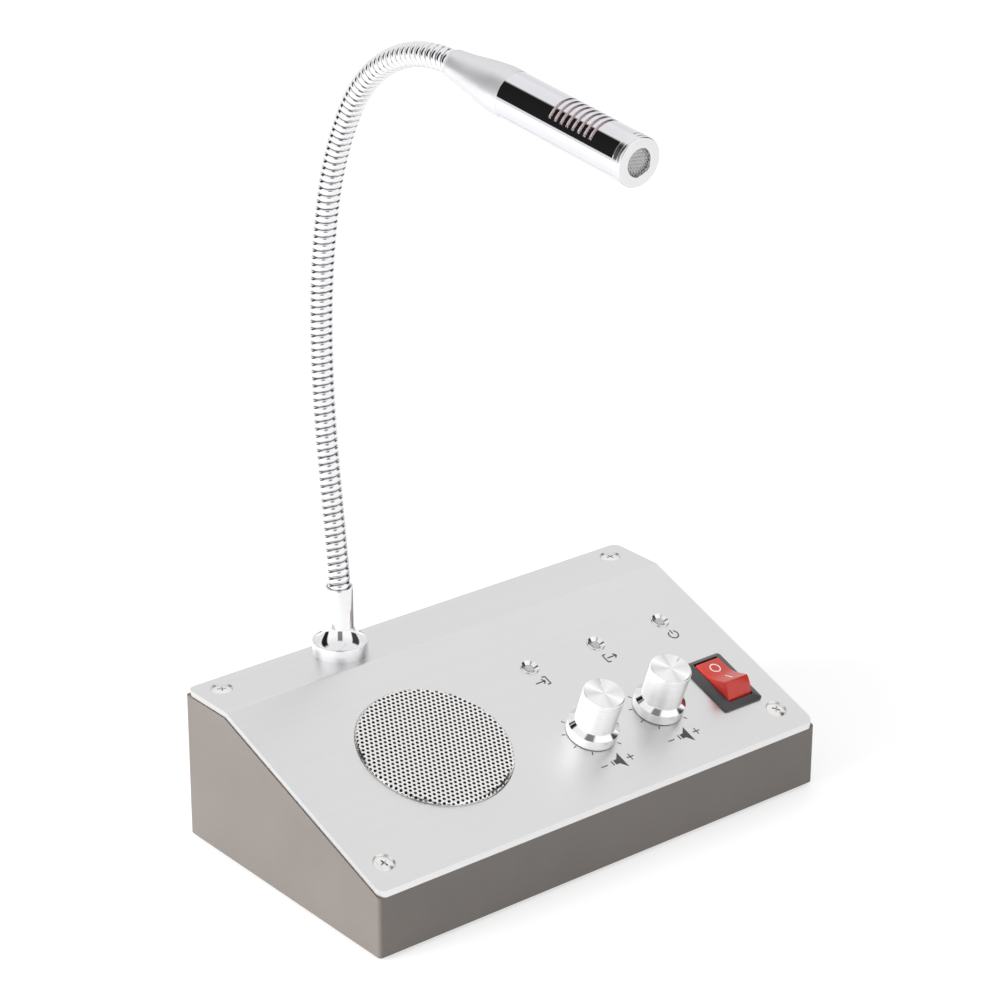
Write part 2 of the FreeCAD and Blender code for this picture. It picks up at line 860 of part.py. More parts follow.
def stud_places():
    """The four studs that hold the speaker's clips, at the corners of a square."""
    reach = STUD_CIRCLE * math.sqrt(0.5)
    spots = []
    for across_sign in (-1, 1):
        for up_sign in (-1, 1):
            spots.append((SPEAKER_ACROSS + reach * across_sign, S.speaker_up + reach * up_sign))
    return spots


def clip_depth():
    """How far the speaker's clips lie under the panel's lower face."""
    return S.grille_sheet + S.gasket + S.frame_sheet


def stud_length():
    """The studs' length under the panel."""
    return clip_depth() + S.clip_sheet + 2 * S.stud_radius + S.clip_sheet


def panel_screws():
    """Four raised countersunk screws with cross recesses."""
    head_low = S.dimple_radius - S.screw_head
    neck = head_low + S.screw_head - S.screw_core
    body = turned(
        "panel_screw",
        [
            (0, neck * -1 - S.screw_length),
            (S.screw_core / 2, neck * -1 - S.screw_length),
            (S.screw_core, neck * -1 - S.screw_length + S.screw_core),
            (S.screw_core, -neck),
            (S.screw_head, -head_low, dome_radius(S.screw_head, head_low)),
            (0, 0),
        ],
    )
    half = S.cross_length / 2
    thin = S.cross_width / 2
    for wide, narrow in ((half, thin), (thin, half)):
        cross = new_sketch(body, "XY_Plane", lift=S.cross_depth)
        draw_box(cross, -wide, wide, -narrow, narrow)
        pocket(body, cross, 2 * S.cross_depth)

    def front(side_sign):
        return lambda item: seat_on_slope(item, SCREW_ACROSS * side_sign, S.front_screw_up)

    def rear(side_sign):
        return lambda item: place(item, SCREW_ACROSS * side_sign, REAR_SCREW_Y, FLAT_TOP)

    return group("panel_screws", body, [front(-1), front(1), rear(-1), rear(1)])


# ---------------------------------------------------------------- loudspeaker


def speaker_grille():
    """A stamped cap: drilled top, rounded edge, skirt through the panel and flange below it."""
    edge = GRILLE_RADIUS.number
    thick = S.grille_sheet.number
    turn = S.grille_round.number
    top = S.grille_rise.number
    under = -S.sheet.number
    flat = edge - turn
    hollow = turn - thick
    outer = Vector(flat, 0, top - turn)
    slant = Vector(math.sqrt(0.5), 0, math.sqrt(0.5))
    corners = [
        Vector(edge, 0, top - turn),
        Vector(edge, 0, under),
        Vector(GRILLE_FLANGE.number, 0, under),
        Vector(GRILLE_FLANGE.number, 0, under - thick),
        Vector(edge - thick, 0, under - thick),
        Vector(edge - thick, 0, top - turn),
    ]
    lines = [Part.LineSegment(a, b).toShape() for a, b in zip(corners, corners[1:])]
    over = Part.Arc(Vector(flat, 0, top), outer + slant * turn, corners[0])
    under_arc = Part.Arc(corners[-1], outer + slant * hollow, Vector(flat, 0, top - thick))
    inside = [Vector(flat, 0, top - thick), Vector(0, 0, top - thick), Vector(0, 0, top)]
    inside.append(Vector(flat, 0, top))
    lines.append(under_arc.toShape())
    lines += [Part.LineSegment(a, b).toShape() for a, b in zip(inside, inside[1:])]
    cap = Part.Face(Part.Wire([over.toShape()] + lines)).revolve(Vector(0, 0, 0), Z_AXIS, 360)
    centres = honeycomb(flat, S.grille_hole.number, S.grille_pitch.number)
    solid = Part.Solid(cap.Solids[0])
    item = doc.addObject("Part::Feature", "speaker_grille")
    item.Label = "speaker_grille"
    item.Shape = drill(solid, centres, S.grille_hole.number, top - 2 * thick, 3 * thick)
    seat_on_slope(item, SPEAKER_ACROSS, S.speaker_up)
    return item


def speaker_parts():
    """Gasket, steel frame, cone, dust cap, magnet and its iron, clips and nuts."""
    gasket_top = -S.sheet - S.grille_sheet
    flange_top = gasket_top - S.gasket
    lip = CONE_RADIUS + S.frame_sheet
    ring_inner = CONE_RADIUS
    gasket = turned(
        "speaker_gasket",
        [
            (ring_inner, flange_top),
            (S.speaker_radius, flange_top),
            (S.speaker_radius, gasket_top),
            (ring_inner, gasket_top),
        ],
    )
    frame_low = flange_top - S.speaker_depth
    neck = S.coil_radius + S.frame_sheet
    frame = turned(
        "speaker_basket",
        [
            (neck, frame_low),
            (S.plate_radius, frame_low),
            (lip + S.frame_sheet, flange_top - S.frame_sheet),
            (S.speaker_radius, flange_top - S.frame_sheet),
            (S.speaker_radius, flange_top),
            (lip, flange_top),
            (S.plate_radius - S.frame_sheet, frame_low + S.frame_sheet),
            (neck, frame_low + S.frame_sheet),
        ],
    )
    windows = new_sketch(frame, "XY_Plane", lift=flange_top - 2 * S.frame_sheet)
    outer = S.plate_radius + S.frame_sheet
    half = S.clip_width
    draw_box(windows, outer, CONE_RADIUS, -half, half)
    draw_box(windows, -CONE_RADIUS, -outer, -half, half)
    draw_box(windows, -half, half, outer, CONE_RADIUS)
    draw_box(windows, -half, half, -CONE_RADIUS, -outer)
    pocket(frame, windows, S.speaker_depth)
    paper = S.frame_sheet / 2
    cone_low = frame_low + S.speaker_depth / 3
    cone = turned(
        "speaker_cone",
        [
            (S.coil_radius, frame_low - S.plate / 2),
            (S.coil_radius + paper, frame_low - S.plate / 2),
            (S.coil_radius + paper, cone_low - paper),
            (CONE_RADIUS, flange_top - paper),
            (lip - paper, flange_top - paper),
            (lip - paper, flange_top),
            (CONE_RADIUS, flange_top),
            (S.coil_radius, cone_low),
        ],
    )
    cap = turned(
        "speaker_dust_cap",
        [
            (0, cone_low),
            (S.coil_radius, cone_low),
            (S.coil_radius, cone_low + paper, dome_radius(S.coil_radius, S.cap_rise)),
            (0, cone_low + paper + S.cap_rise),
        ],
    )
    plate_low = frame_low - S.plate
    back_top = plate_low - S.magnet_height
    magnet = turned(
        "speaker_magnet",
        [
            (S.plate_radius * 0.6, back_top),
            (S.magnet_radius, back_top),
            (S.magnet_radius, plate_low),
            (S.plate_radius * 0.6, plate_low),
        ],
    )
    front_iron = turned(
        "speaker_top_plate",
        [
            (neck, plate_low),
            (S.plate_radius, plate_low),
            (S.plate_radius, frame_low),
            (neck, frame_low),
        ],
    )
    pole = S.coil_radius - S.fit * 3
    back_iron = turned(
        "speaker_yoke",
        [
            (0, back_top - S.plate),
            (S.plate_radius, back_top - S.plate),
            (S.plate_radius, back_top),
            (pole, back_top),
            (pole, frame_low),
            (0, frame_low),
        ],
    )
    pieces = [gasket, frame, cone, cap, magnet, front_iron, back_iron]
    for item in pieces:
        seat_on_slope(item, SPEAKER_ACROSS, S.speaker_up)
    return pieces + speaker_clips()


def speaker_clips():
    """Four stepped clips on the panel's studs, and their nuts."""
    clip = new_body("speaker_clip")
    side = new_sketch(clip, "XZ_Plane")
    depth = clip_depth()
    hold_in = STUD_CIRCLE - S.speaker_radius + S.clip_sheet * 1.5
    heel = S.stud_radius + S.clip_sheet
    draw(
        side,
        [
            (-hold_in, -S.clip_sheet),
            (heel + S.clip_sheet, -S.clip_sheet),
            (heel + S.clip_sheet, depth),
            (heel, depth),
            (heel, 0),
            (-hold_in, 0),
        ],
    )
    pad(clip, side, S.clip_width, both=True)
    bore = new_sketch(clip, "XY_Plane")
    draw_circle(bore, 0, 0, S.stud_radius + S.fit)
    pocket(clip, bore, S.clip_sheet)
    nut, sketch = plate("speaker_nut", 2 * S.stud_radius)
    draw_hexagon(sketch, 4 * S.stud_radius)
    draw_circle(sketch, 0, 0, S.stud_radius + S.running_fit)
    out = -S.sheet - clip_depth()
    clips = []
    nuts = []
    for number, (across, up) in enumerate(stud_places(), start=1):
        away = math.degrees(math.atan2((up - S.speaker_up).number, (across - SPEAKER_ACROSS).number))
        clips.append(slope_seat(across, up, out, away))
        nuts.append(slope_seat(across, up, out - S.clip_sheet - 2 * S.stud_radius, 0))
    return [group("speaker_clips", clip, clips), group("speaker_nuts", nut, nuts)]


def slope_seat(across, up, out, spin):
    """A seat on the slope for a copy that is first spun about the slope's normal."""

    def seat(item):
        seat_on_slope(item, across, up, out)
        spun = item.Placement.Rotation.multiply(Rotation(Z_AXIS, spin))
        item.setExpression("Placement.Rotation.Angle", None)
        item.Placement = Placement(item.Placement.Base, spun)

    return seat


# ---------------------------------------------------------------- neck


def neck_parts():
    """The turned base with its washer and nut, and the gooseneck in short lengths."""
    top = S.column_height
    low = -S.spigot_length
    flare = S.flare_height + S.rim_height
    bevel = S.rim_height - S.case_edge / 2
    flange = turned(
        "neck_flange",
        [
            (S.lead_bore, low),
            (S.spigot_radius, low),
            (S.spigot_radius, 0),
            (S.rim_radius, 0),
            (S.rim_radius, bevel),
            (S.rim_radius - S.case_edge / 2, S.rim_height, -1.3 * S.flare_height),
            (S.column_radius, flare),
            (S.column_radius, top),
            (S.hose_radius + S.fit, top),
            (S.hose_radius + S.fit, top - S.socket_depth),
            (S.lead_bore, top - S.socket_depth),
        ],
    )
    place(flange, NECK_ACROSS, NECK_Y, FLAT_TOP)
    washer = turned(
        "neck_washer",
        [
            (S.spigot_radius + S.fit, -S.clip_sheet),
            (S.neck_washer_radius, -S.clip_sheet),
            (S.neck_washer_radius, 0),
            (S.spigot_radius + S.fit, 0),
        ],
    )
    place(washer, NECK_ACROSS, NECK_Y, REAR_TOP)
    nut, sketch = plate("neck_nut", S.spigot_radius)
    draw_hexagon(sketch, S.neck_nut_flats)
    draw_circle(sketch, 0, 0, S.spigot_radius + S.running_fit)
    place(nut, NECK_ACROSS, NECK_Y, REAR_TOP - S.clip_sheet - S.spigot_radius)
    pieces = [flange, washer, nut]
    step = NECK_TOTAL / HOSE_COUNT
    gap = S.hose_gap.number / 2
    for number in range(HOSE_COUNT):
        start = step * number + gap if number else -S.socket_depth.number
        last = number == HOSE_COUNT - 1
        end = NECK_TOTAL + S.mic_socket.number if last else step * (number + 1) - gap
        pieces.append(hose_length("neck_hose_%d" % (number + 1), start, end))
    return pieces


# ---------------------------------------------------------------- microphone


def mic_parts():
    """Rear taper, slotted barrel, liner, front ring, wire mesh, capsule and its boot."""
    seam = S.seam_place
    front = S.mic_length
    ring_back = front - S.ring_length
    inner = S.mic_radius - S.mic_wall
    spigot = inner - S.running_fit
    tail = turned(
        "mic_rear_housing",
        [
            (S.hose_radius + S.fit, 0),
            (S.mic_tail_radius, 0),
            (S.mic_radius, S.taper_length),
            (S.mic_radius, seam),
            (spigot, seam),
            (spigot, seam + S.mic_socket),
            (spigot - S.mic_wall, seam + S.mic_socket),
            (spigot - S.mic_wall, S.taper_length),
            (S.lead_bore, 2 * S.mic_socket),
            (S.lead_bore, S.mic_socket),
            (S.hose_radius + S.fit, S.mic_socket),
        ],
    )
    barrel = turned(
        "mic_barrel",
        [
            (inner, seam),
            (S.mic_radius, seam),
            (S.mic_radius, ring_back),
            (inner, ring_back),
        ],
    )
    slots = new_sketch(barrel, "YZ_Plane")
    for number in range(SLOT_COUNT):
        low = seam + S.slot_first + S.slot_pitch * number - S.slot_width / 2
        draw_box(slots, S.slot_floor, 2 * S.mic_radius, low, low + S.slot_width)
    pocket(barrel, slots, 3 * S.mic_radius, both=True)
    liner_radius = inner - S.running_fit
    liner = turned(
        "mic_liner",
        [
            (liner_radius - S.liner_wall, seam + S.mic_socket),
            (liner_radius, seam + S.mic_socket),
            (liner_radius, ring_back - S.ring_length),
            (liner_radius - S.liner_wall, ring_back - S.ring_length),
        ],
    )
    groove = front - S.ring_groove
    nick = S.fit * 2
    cavity = spigot - S.mic_wall
    ring = turned(
        "mic_end_ring",
        [
            (cavity, ring_back - S.ring_length),
            (spigot, ring_back - S.ring_length),
            (spigot, ring_back),
            (S.mic_radius - nick, ring_back),
            (S.mic_radius, ring_back + nick),
            (S.mic_radius, groove - nick),
            (S.mic_radius - nick, groove),
            (S.mic_radius, groove + nick),
            (S.mic_radius, front - 2 * nick, 2 * nick),
            (S.mic_radius - 2 * nick, front),
            (S.mouth_radius, front),
            (S.mouth_radius, front - S.ring_front),
            (cavity, front - S.ring_front),
        ],
    )
    mesh = doc.addObject("Part::Feature", "mic_mesh")
    mesh.Label = "mic_mesh"
    thin = S.mesh_sheet.number
    disc = Part.makeCylinder((cavity - S.fit).number, thin)
    centres = honeycomb(S.mouth_radius.number, S.mesh_hole.number, S.mesh_pitch.number)
    mesh.Shape = drill(disc, centres, S.mesh_hole.number, -thin, 3 * thin)
    face = front - S.ring_front - S.mesh_sheet
    capsule_low = face - S.capsule_length
    capsule = turned(
        "mic_capsule",
        [(0, capsule_low), (S.capsule_radius, capsule_low), (S.capsule_radius, face), (0, face)],
    )
    boot_low = face - S.boot_length
    boot_radius = cavity - S.fit
    boot = turned(
        "mic_capsule_boot",
        [
            (S.capsule_radius / 2, boot_low),
            (boot_radius, boot_low),
            (boot_radius, face),
            (S.capsule_radius + S.running_fit, face),
            (S.capsule_radius + S.running_fit, capsule_low),
            (S.capsule_radius / 2, capsule_low),
        ],
    )
    pieces = [tail, barrel, liner, ring, capsule, boot]
    for item in pieces:
        item.Placement = neck_placement(NECK_TOTAL)
    ahead = Placement(Vector(0, 0, face.number), Rotation())
    mesh.Placement = neck_placement(NECK_TOTAL).multiply(ahead)
    return pieces + [mesh]


# ---------------------------------------------------------------- knobs and potentiometers


def knob_parts(word, number):
    """One volume control: knob, insert, shaft with its wiper disc, and the body below."""
    top = S.knob_height
    skirt = S.knob_lift + S.skirt_height
    knob = turned(
        "volume_knob_" + word,
        [
            (S.knob_hollow, S.knob_lift),
            (S.skirt_radius, S.knob_lift),
            (S.skirt_radius, skirt),
            (S.knob_radius, skirt + S.flare_rise),
            (S.knob_top_radius, top - S.case_edge),
            (S.knob_top_radius - S.case_edge, top),
            (0, top),
            (0, S.insert_top),
            (S.insert_radius, S.insert_top),
            (S.insert_radius, S.nut_room),
            (S.knob_hollow, S.nut_room),
        ],
    )
    insert = turned(
        "knob_insert_" + word,
        [
            (S.shaft_radius + S.running_fit, S.hollow_height),
            (S.insert_radius, S.hollow_height),
            (S.insert_radius, S.insert_top),
            (S.shaft_radius + S.running_fit, S.insert_top),
        ],
    )
    below = -S.sheet
    floor = below - S.pot_height
    wiper_low = floor + 2 * S.pot_wall
    shaft = turned(
        "pot_shaft_" + word,
        [
            (0, wiper_low),
            (S.pot_radius - 2 * S.pot_wall, wiper_low),
            (S.pot_radius - 2 * S.pot_wall, wiper_low + S.wiper_sheet),
            (S.shaft_radius, wiper_low + S.wiper_sheet),
            (S.shaft_radius, S.shaft_top - S.case_edge),
            (S.shaft_radius - S.case_edge, S.shaft_top),
            (0, S.shaft_top),
        ],
    )
    bore = S.shaft_radius + S.shaft_fit
    can = turned(
        "pot_body_" + word,
        [
            (0, floor),
            (S.pot_radius, floor),
            (S.pot_radius, below),
            (S.bush_radius, below),
            (S.bush_radius, S.bush_top),
            (bore, S.bush_top),
            (bore, below - S.pot_wall),
            (S.pot_radius - S.pot_wall, below - S.pot_wall),
            (S.pot_radius - S.pot_wall, floor + S.pot_wall),
            (0, floor + S.pot_wall),
        ],
    )
    tags = new_sketch(can, "XY_Plane", lift=floor)
    for side_sign in (-1, 0, 1):
        middle = S.blade_length / 2 * side_sign
        half = S.blade_sheet
        draw_box(tags, middle - half, middle + half, -S.pot_radius - S.blade_length / 2, -S.pot_wall)
    pad(can, tags, S.blade_sheet)
    pieces = [knob, insert, shaft, can]
    for item in pieces:
        seat_on_slope(item, column(number), S.control_up)
    return pieces


def pot_fasteners():
    """The washer and nut that hold each potentiometer to the panel, hidden in its knob."""
    washer = turned(
        "pot_washer",
        [
            (S.bush_radius + S.running_fit, 0),
            (S.washer_radius, 0),
            (S.washer_radius, S.washer_sheet),
            (S.bush_radius + S.running_fit, S.washer_sheet),
        ],
    )
    nut, sketch = plate("pot_nut", S.pot_nut_height, low=S.washer_sheet)
    draw_hexagon(sketch, S.pot_nut_flats)
    draw_circle(sketch, 0, 0, S.bush_radius + S.running_fit)

    def seat(number):
        return lambda item: seat_on_slope(item, column(number), S.control_up)

    seats = [seat(0), seat(1)]
    return [group("pot_washers", washer, seats), group("pot_nuts", nut, seats)]


# ---------------------------------------------------------------- rocker switch


def switch_parts():
    """Black housing with its bezel, the red rocker on its pivot and the blades below."""
    housing = new_body("switch_housing")
    base = new_sketch(housing, "XY_Plane")
    half, reach = S.bezel_width / 2, S.bezel_length / 2
    draw_box(base, -half, half, -reach, reach)
    rim = pad(housing, base, S.bezel_height)
    doc.recompute()
    top = S.bezel_height.number

    def upper(ends, middle):
        return abs(middle.z - top) < 1e-6

    dress(housing, "Chamfer", rim, edges_where(rim, upper), S.bezel_height - S.bezel_edge)
    block = new_sketch(housing, "XY_Plane")
    draw_box(
        block,
        -S.housing_width / 2,
        S.housing_width / 2,
        -S.housing_length / 2,
        S.housing_length / 2,
    )
    pad(housing, block, S.housing_depth, back=True)
    opening = new_sketch(housing, "XY_Plane", lift=S.bezel_height)
    swing = Size(
        math.hypot(S.rocker_reach.number, S.rocker_end.number),
        "sqrt(%s * %s + %s * %s)"
        % (S.rocker_reach.words, S.rocker_reach.words, S.rocker_end.words, S.rocker_end.words),
    )
    mouth = swing + S.rocker_gap
    side = S.rocker_width / 2 + S.rocker_gap
    draw_box(opening, -side, side, -mouth, mouth)
    pocket(housing, opening, S.bezel_height + S.housing_depth - 2 * S.pot_wall)
    pivots = new_sketch(housing, "YZ_Plane")
    draw_circle(pivots, 0, S.pivot_height, S.pivot_radius + S.running_fit)
    pocket(housing, pivots, S.rocker_width + 2 * S.rocker_gap + 1.5 * S.pivot_radius, both=True)

    rocker = new_body("switch_rocker")
    shape = new_sketch(rocker, "YZ_Plane")
    knee = sine(S.rocker_tilt)
    heel = cosine(S.rocker_tilt)
    draw(
        shape,
        [
            (swing, 0, swing),
            (S.rocker_reach, S.rocker_end),
            (0, S.rocker_valley),
            (-S.rocker_reach, S.rocker_end, swing),
            (-swing, 0),
            (-swing * heel, -swing * knee),
            (-S.rocker_reach / 2, -S.rocker_keel),
            (S.rocker_reach / 2, -S.rocker_keel),
            (swing * heel, -swing * knee),
        ],
    )
    pad(rocker, shape, S.rocker_width, both=True)
    pins = new_sketch(rocker, "YZ_Plane")
    draw_circle(pins, 0, 0, S.pivot_radius)
    pad(rocker, pins, S.rocker_width + 2 * S.rocker_gap + S.pivot_radius, both=True)

    blade, sketch = plate("switch_blade", S.blade_length)
    thin, wide = S.blade_sheet / 2, S.blade_width / 2
    draw_box(sketch, -wide, wide, -thin, thin)
    out = -S.housing_depth - S.blade_length

    def seat(side_sign):
        up = S.control_up + S.housing_length / 4 * side_sign
        return lambda item: seat_on_slope(item, column(2), up, out)

    blades = group("switch_terminals", blade, [seat(-1), seat(1)])
    seat_on_slope(housing, column(2), S.control_up)
    seat_on_slope(rocker, column(2), S.control_up, S.pivot_height, -S.rocker_tilt)
    return [housing, rocker, blades]


# ---------------------------------------------------------------- indicator lamps


def lamp_parts():
    """Three bright cones, the clear lamps in them, and the nuts behind the panel."""
    bezel = turned(
        "indicator_bezel",
        [
            (S.lamp_flange + S.running_fit, -S.lamp_barrel_length),
            (S.lamp_barrel, -S.lamp_barrel_length),
            (S.lamp_barrel, 0),
            (S.lamp_rim, 0),
            (S.lamp_rim, S.lamp_rim_height / 2),
            (S.lamp_rim - S.lamp_rim_height / 2, S.lamp_rim_height),
            (S.lamp_mouth, S.lamp_rim_height),
            (S.lamp_radius + S.running_fit, S.lamp_rim_height - S.lamp_cone_depth),
            (S.lamp_flange + S.running_fit, S.lamp_rim_height - S.lamp_cone_depth),
        ],
    )
    dome = S.lamp_radius
    lens_low = S.lamp_rim_height - S.lamp_cone_depth - S.lamp_radius
    lamp = turned(
        "indicator_lamp",
        [
            (0, lens_low - S.wire_radius * 3),
            (S.lamp_flange, lens_low - S.wire_radius * 3),
            (S.lamp_flange, lens_low),
            (dome, lens_low),
            (dome, -dome, dome),
            (0, 0),
        ],
    )
    legs = new_sketch(lamp, "XY_Plane", lift=lens_low - S.wire_radius)
    for side_sign in (-1, 1):
        draw_circle(legs, S.lamp_radius * 0.85 * side_sign, 0, S.wire_radius)
    pad(lamp, legs, S.lamp_barrel_length, back=True)
    nut, sketch = plate("indicator_nut", S.lamp_nut_height)
    draw_hexagon(sketch, S.lamp_nut_flats)
    draw_circle(sketch, 0, 0, S.lamp_barrel + S.running_fit)

    def seat(number, out):
        return lambda item: seat_on_slope(item, column(number), S.lamp_up, out)

    under = -S.sheet - S.lamp_nut_height
    return [
        group("indicator_bezels", bezel, [seat(number, 0) for number in range(3)]),
        group("indicator_lamps", lamp, [seat(number, 0) for number in range(3)]),
        group("indicator_nuts", nut, [seat(number, under) for number in range(3)]),
    ]


# ---------------------------------------------------------------- board


def board_parts():
    """The board on its posts with its screws, chips, heat sink, capacitors and headers."""
    board, sketch = plate("main_board", S.board_sheet, low=BOARD_BOTTOM)
    draw_box(sketch, BOARD_LEFT, BOARD_RIGHT, BOARD_FRONT, BOARD_REAR)
    for across, along in board_hole_places():
        draw_circle(sketch, across, along, S.screw_core + S.fit)
    screw = turned(
        "board_screw",
        [
            (0, -S.board_sheet - S.post_height + S.case_edge),
            (S.screw_core, -S.board_sheet - S.post_height + S.case_edge),
            (S.screw_core, 0),
            (S.screw_head, 0),
            (S.screw_head, S.screw_hole / 2),
            (S.screw_core, S.screw_hole),
            (0, S.screw_hole),
        ],
    )

    def seat(across, along):
        return lambda item: place(item, across, along, BOARD_TOP)

    screws = group("board_screws", screw, [seat(*spot) for spot in board_hole_places()])
    return [board, screws] + board_blocks() + [power_jack()] + sockets()


def block(name, width, depth, height, spots):
    """Copies of one upright block on the board."""
    master, sketch = plate(name[:-1], height)
    half, reach = width / 2, depth / 2
    draw_box(sketch, -half, half, -reach, reach)

    def seat(across, along):
        return lambda item: place(item, across, along, BOARD_TOP)

    return group(name, master, [seat(*spot) for spot in spots])


def board_blocks():
    """Chips, heat sink, capacitors and headers in three rows over the board."""
    columns = [BOARD_LEFT + S.part_inset + S.part_pitch * number for number in range(3)]
    rows = [BOARD_FRONT + S.row_inset + S.row_pitch * number for number in range(3)]
    chips = block(
        "amplifier_chips",
        S.chip_length,
        S.chip_width,
        S.chip_height,
        [(columns[0], rows[1]), (columns[0], rows[2])],
    )
    headers = block(
        "board_headers",
        S.header_length,
        S.header_width,
        S.header_height,
        [(across, rows[0]) for across in columns],
    )
    can = turned(
        "board_capacitor",
        [
            (0, 0),
            (S.capacitor_radius, 0),
            (S.capacitor_radius, S.capacitor_height - S.case_edge),
            (S.capacitor_radius - S.case_edge, S.capacitor_height),
            (0, S.capacitor_height),
        ],
    )

    def seat(across, along):
        return lambda item: place(item, across, along, BOARD_TOP)

    spots = [(across, along) for across in columns[1:] for along in rows[1:]]
    cans = group("board_capacitors", can, [seat(*spot) for spot in spots])
    sink, sketch = plate("heat_sink", S.sink_height)
    draw(sketch, fin_outline())
    beside = columns[2] + S.capacitor_radius + S.board_gap
    place(sink, beside + fin_row() / 2, rows[2], BOARD_TOP)
    return [chips, headers, cans, sink]


def fin_row():
    """Width of the heat sink."""
    return S.fin_pitch * (FIN_COUNT - 1) + S.fin_sheet


def fin_outline():
    """A comb: a back plate with fins towards the front."""
    width = fin_row()
    root, tip = -S.sink_back, -S.sink_back - S.fin_reach
    corners = [(-width / 2, 0), (-width / 2, tip)]
    for number in range(FIN_COUNT):
        left = -width / 2 + S.fin_pitch * number
        corners.append((left + S.fin_sheet, tip))
        if number < FIN_COUNT - 1:
            corners.append((left + S.fin_sheet, root))
            corners.append((left + S.fin_pitch, root))
            corners.append((left + S.fin_pitch, tip))
    corners.append((width / 2, 0))
    return corners


def power_jack():
    """The round low-voltage inlet: a block on the board with a bush through the rear wall."""
    centre = power_centre()
    bush, bore = S.power_bush, S.power_bore
    body = jack_body("dc_power_jack", S.power_width, centre, bush, bore, S.power_length)
    pin = new_sketch(body, "XZ_Plane", lift=-HALF_DEPTH)
    draw_circle(pin, jack_across(0), centre, S.power_pin)
    pad(body, pin, S.power_length + S.fit)
    return body


def sockets():
    """Two audio sockets of the small jack size."""
    pieces = []
    for number, name in ((1, "outer_unit_jack"), (2, "line_out_jack")):
        body = jack_body(
            name,
            S.socket_width,
            socket_centre(),
            S.socket_bush,
            S.socket_radius,
            S.socket_length,
            number,
        )
        pieces.append(body)
    return pieces


def jack_body(name, width, centre, bush, bore, length, number=0):
    """A block that stands on the board against the rear wall, a bush and a blind bore."""
    across = jack_across(number)
    block_top = centre + bush + S.board_gap
    body = new_body(name)
    back = new_sketch(body, "XZ_Plane", lift=-REAR_WALL)
    half = width / 2
    draw_box(back, across - half, across + half, BOARD_TOP, block_top)
    pad(body, back, length + S.case_wall)
    collar = new_sketch(body, "XZ_Plane", lift=-HALF_DEPTH)
    draw_circle(collar, across, centre, bush)
    pad(body, collar, S.case_wall + S.fit)
    hole = new_sketch(body, "XZ_Plane", lift=-HALF_DEPTH)
    draw_circle(hole, across, centre, bore)
    pocket(body, hole, length, back=True)
    return body


# ---------------------------------------------------------------- build and write


def build():
    """Make every sub-part, in the order in which the object is put together."""
    pieces = [case_tub(), base_pad(), top_panel(), panel_screws(), speaker_grille()]
    pieces += speaker_parts()
    pieces += neck_parts()
    pieces += mic_parts()
    pieces += knob_parts("in", 0)
    pieces += knob_parts("out", 1)
    pieces += pot_fasteners()
    pieces += switch_parts()
    pieces += lamp_parts()
    pieces += board_parts()
    return pieces


def check(pieces):
    """Stop if any object failed, or any shape is empty or not valid."""
    for item in doc.Objects:
        if "Invalid" in item.State or "Error" in item.State:
            raise ValueError("%s failed: %s" % (item.Label, item.State))
    for item in pieces:
        if item.Shape.isNull() or not item.Shape.isValid():
            raise ValueError("%s has no valid shape" % item.Label)
        if not item.Shape.Solids:
            raise ValueError("%s has no solid" % item.Label)


def write(pieces):
    """Write each sub-part to parts/NODE.step."""
    os.makedirs("parts", exist_ok=True)
    for item in pieces:
        item.Shape.exportStep("parts/%s.step" % item.Label)


PIECES = build()
doc.recompute()
check(PIECES)
write(PIECES)
for piece in PIECES:
    print("%-20s %2d solids %9.1f mm3" % (piece.Label, len(piece.Shape.Solids), piece.Shape.Volume))
print("%d sub-parts" % len(PIECES))
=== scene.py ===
"""Looks of a teller window intercom: a wedge case with a folded metal panel, a drilled grille,
two volume knobs, a rocker switch, three lamps and a microphone on a ribbed bending neck.

Shapes are drawn in millimetres and put in the model's frame, in metres, when they are made.
On the sloping panel "across" is along X, "up" runs up the slope from the panel's front edge,
and "out" is square to the panel, counted from its upper face.
"""

import logging
import math
from dataclasses import dataclass, field
from enum import Enum
from typing import Any, Callable, Sequence

import bmesh
import bpy
from mathutils import Euler, Matrix, Quaternion, Vector


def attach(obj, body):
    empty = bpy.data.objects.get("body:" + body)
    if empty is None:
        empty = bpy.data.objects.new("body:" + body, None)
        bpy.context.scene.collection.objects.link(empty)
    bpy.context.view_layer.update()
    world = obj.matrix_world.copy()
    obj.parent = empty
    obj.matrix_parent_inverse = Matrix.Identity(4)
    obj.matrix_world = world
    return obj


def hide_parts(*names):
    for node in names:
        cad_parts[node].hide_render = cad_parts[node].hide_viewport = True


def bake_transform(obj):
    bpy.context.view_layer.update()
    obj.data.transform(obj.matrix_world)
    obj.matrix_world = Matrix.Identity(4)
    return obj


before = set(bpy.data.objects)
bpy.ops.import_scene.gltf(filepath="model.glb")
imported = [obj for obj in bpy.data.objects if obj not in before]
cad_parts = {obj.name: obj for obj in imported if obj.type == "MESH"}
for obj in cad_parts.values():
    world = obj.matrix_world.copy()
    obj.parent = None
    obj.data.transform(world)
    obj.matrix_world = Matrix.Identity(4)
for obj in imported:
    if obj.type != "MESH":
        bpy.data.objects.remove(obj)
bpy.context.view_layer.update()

LOG = logging.getLogger("intercom")
MM = 0.001
TINY = 1e-6
QUARTER = math.pi / 2
BASE = "base"

Point = tuple[float, float]
Colour = tuple[float, float, float]
Number = Any
Edge = bmesh.types.BMEdge
Face = bmesh.types.BMFace


# Places


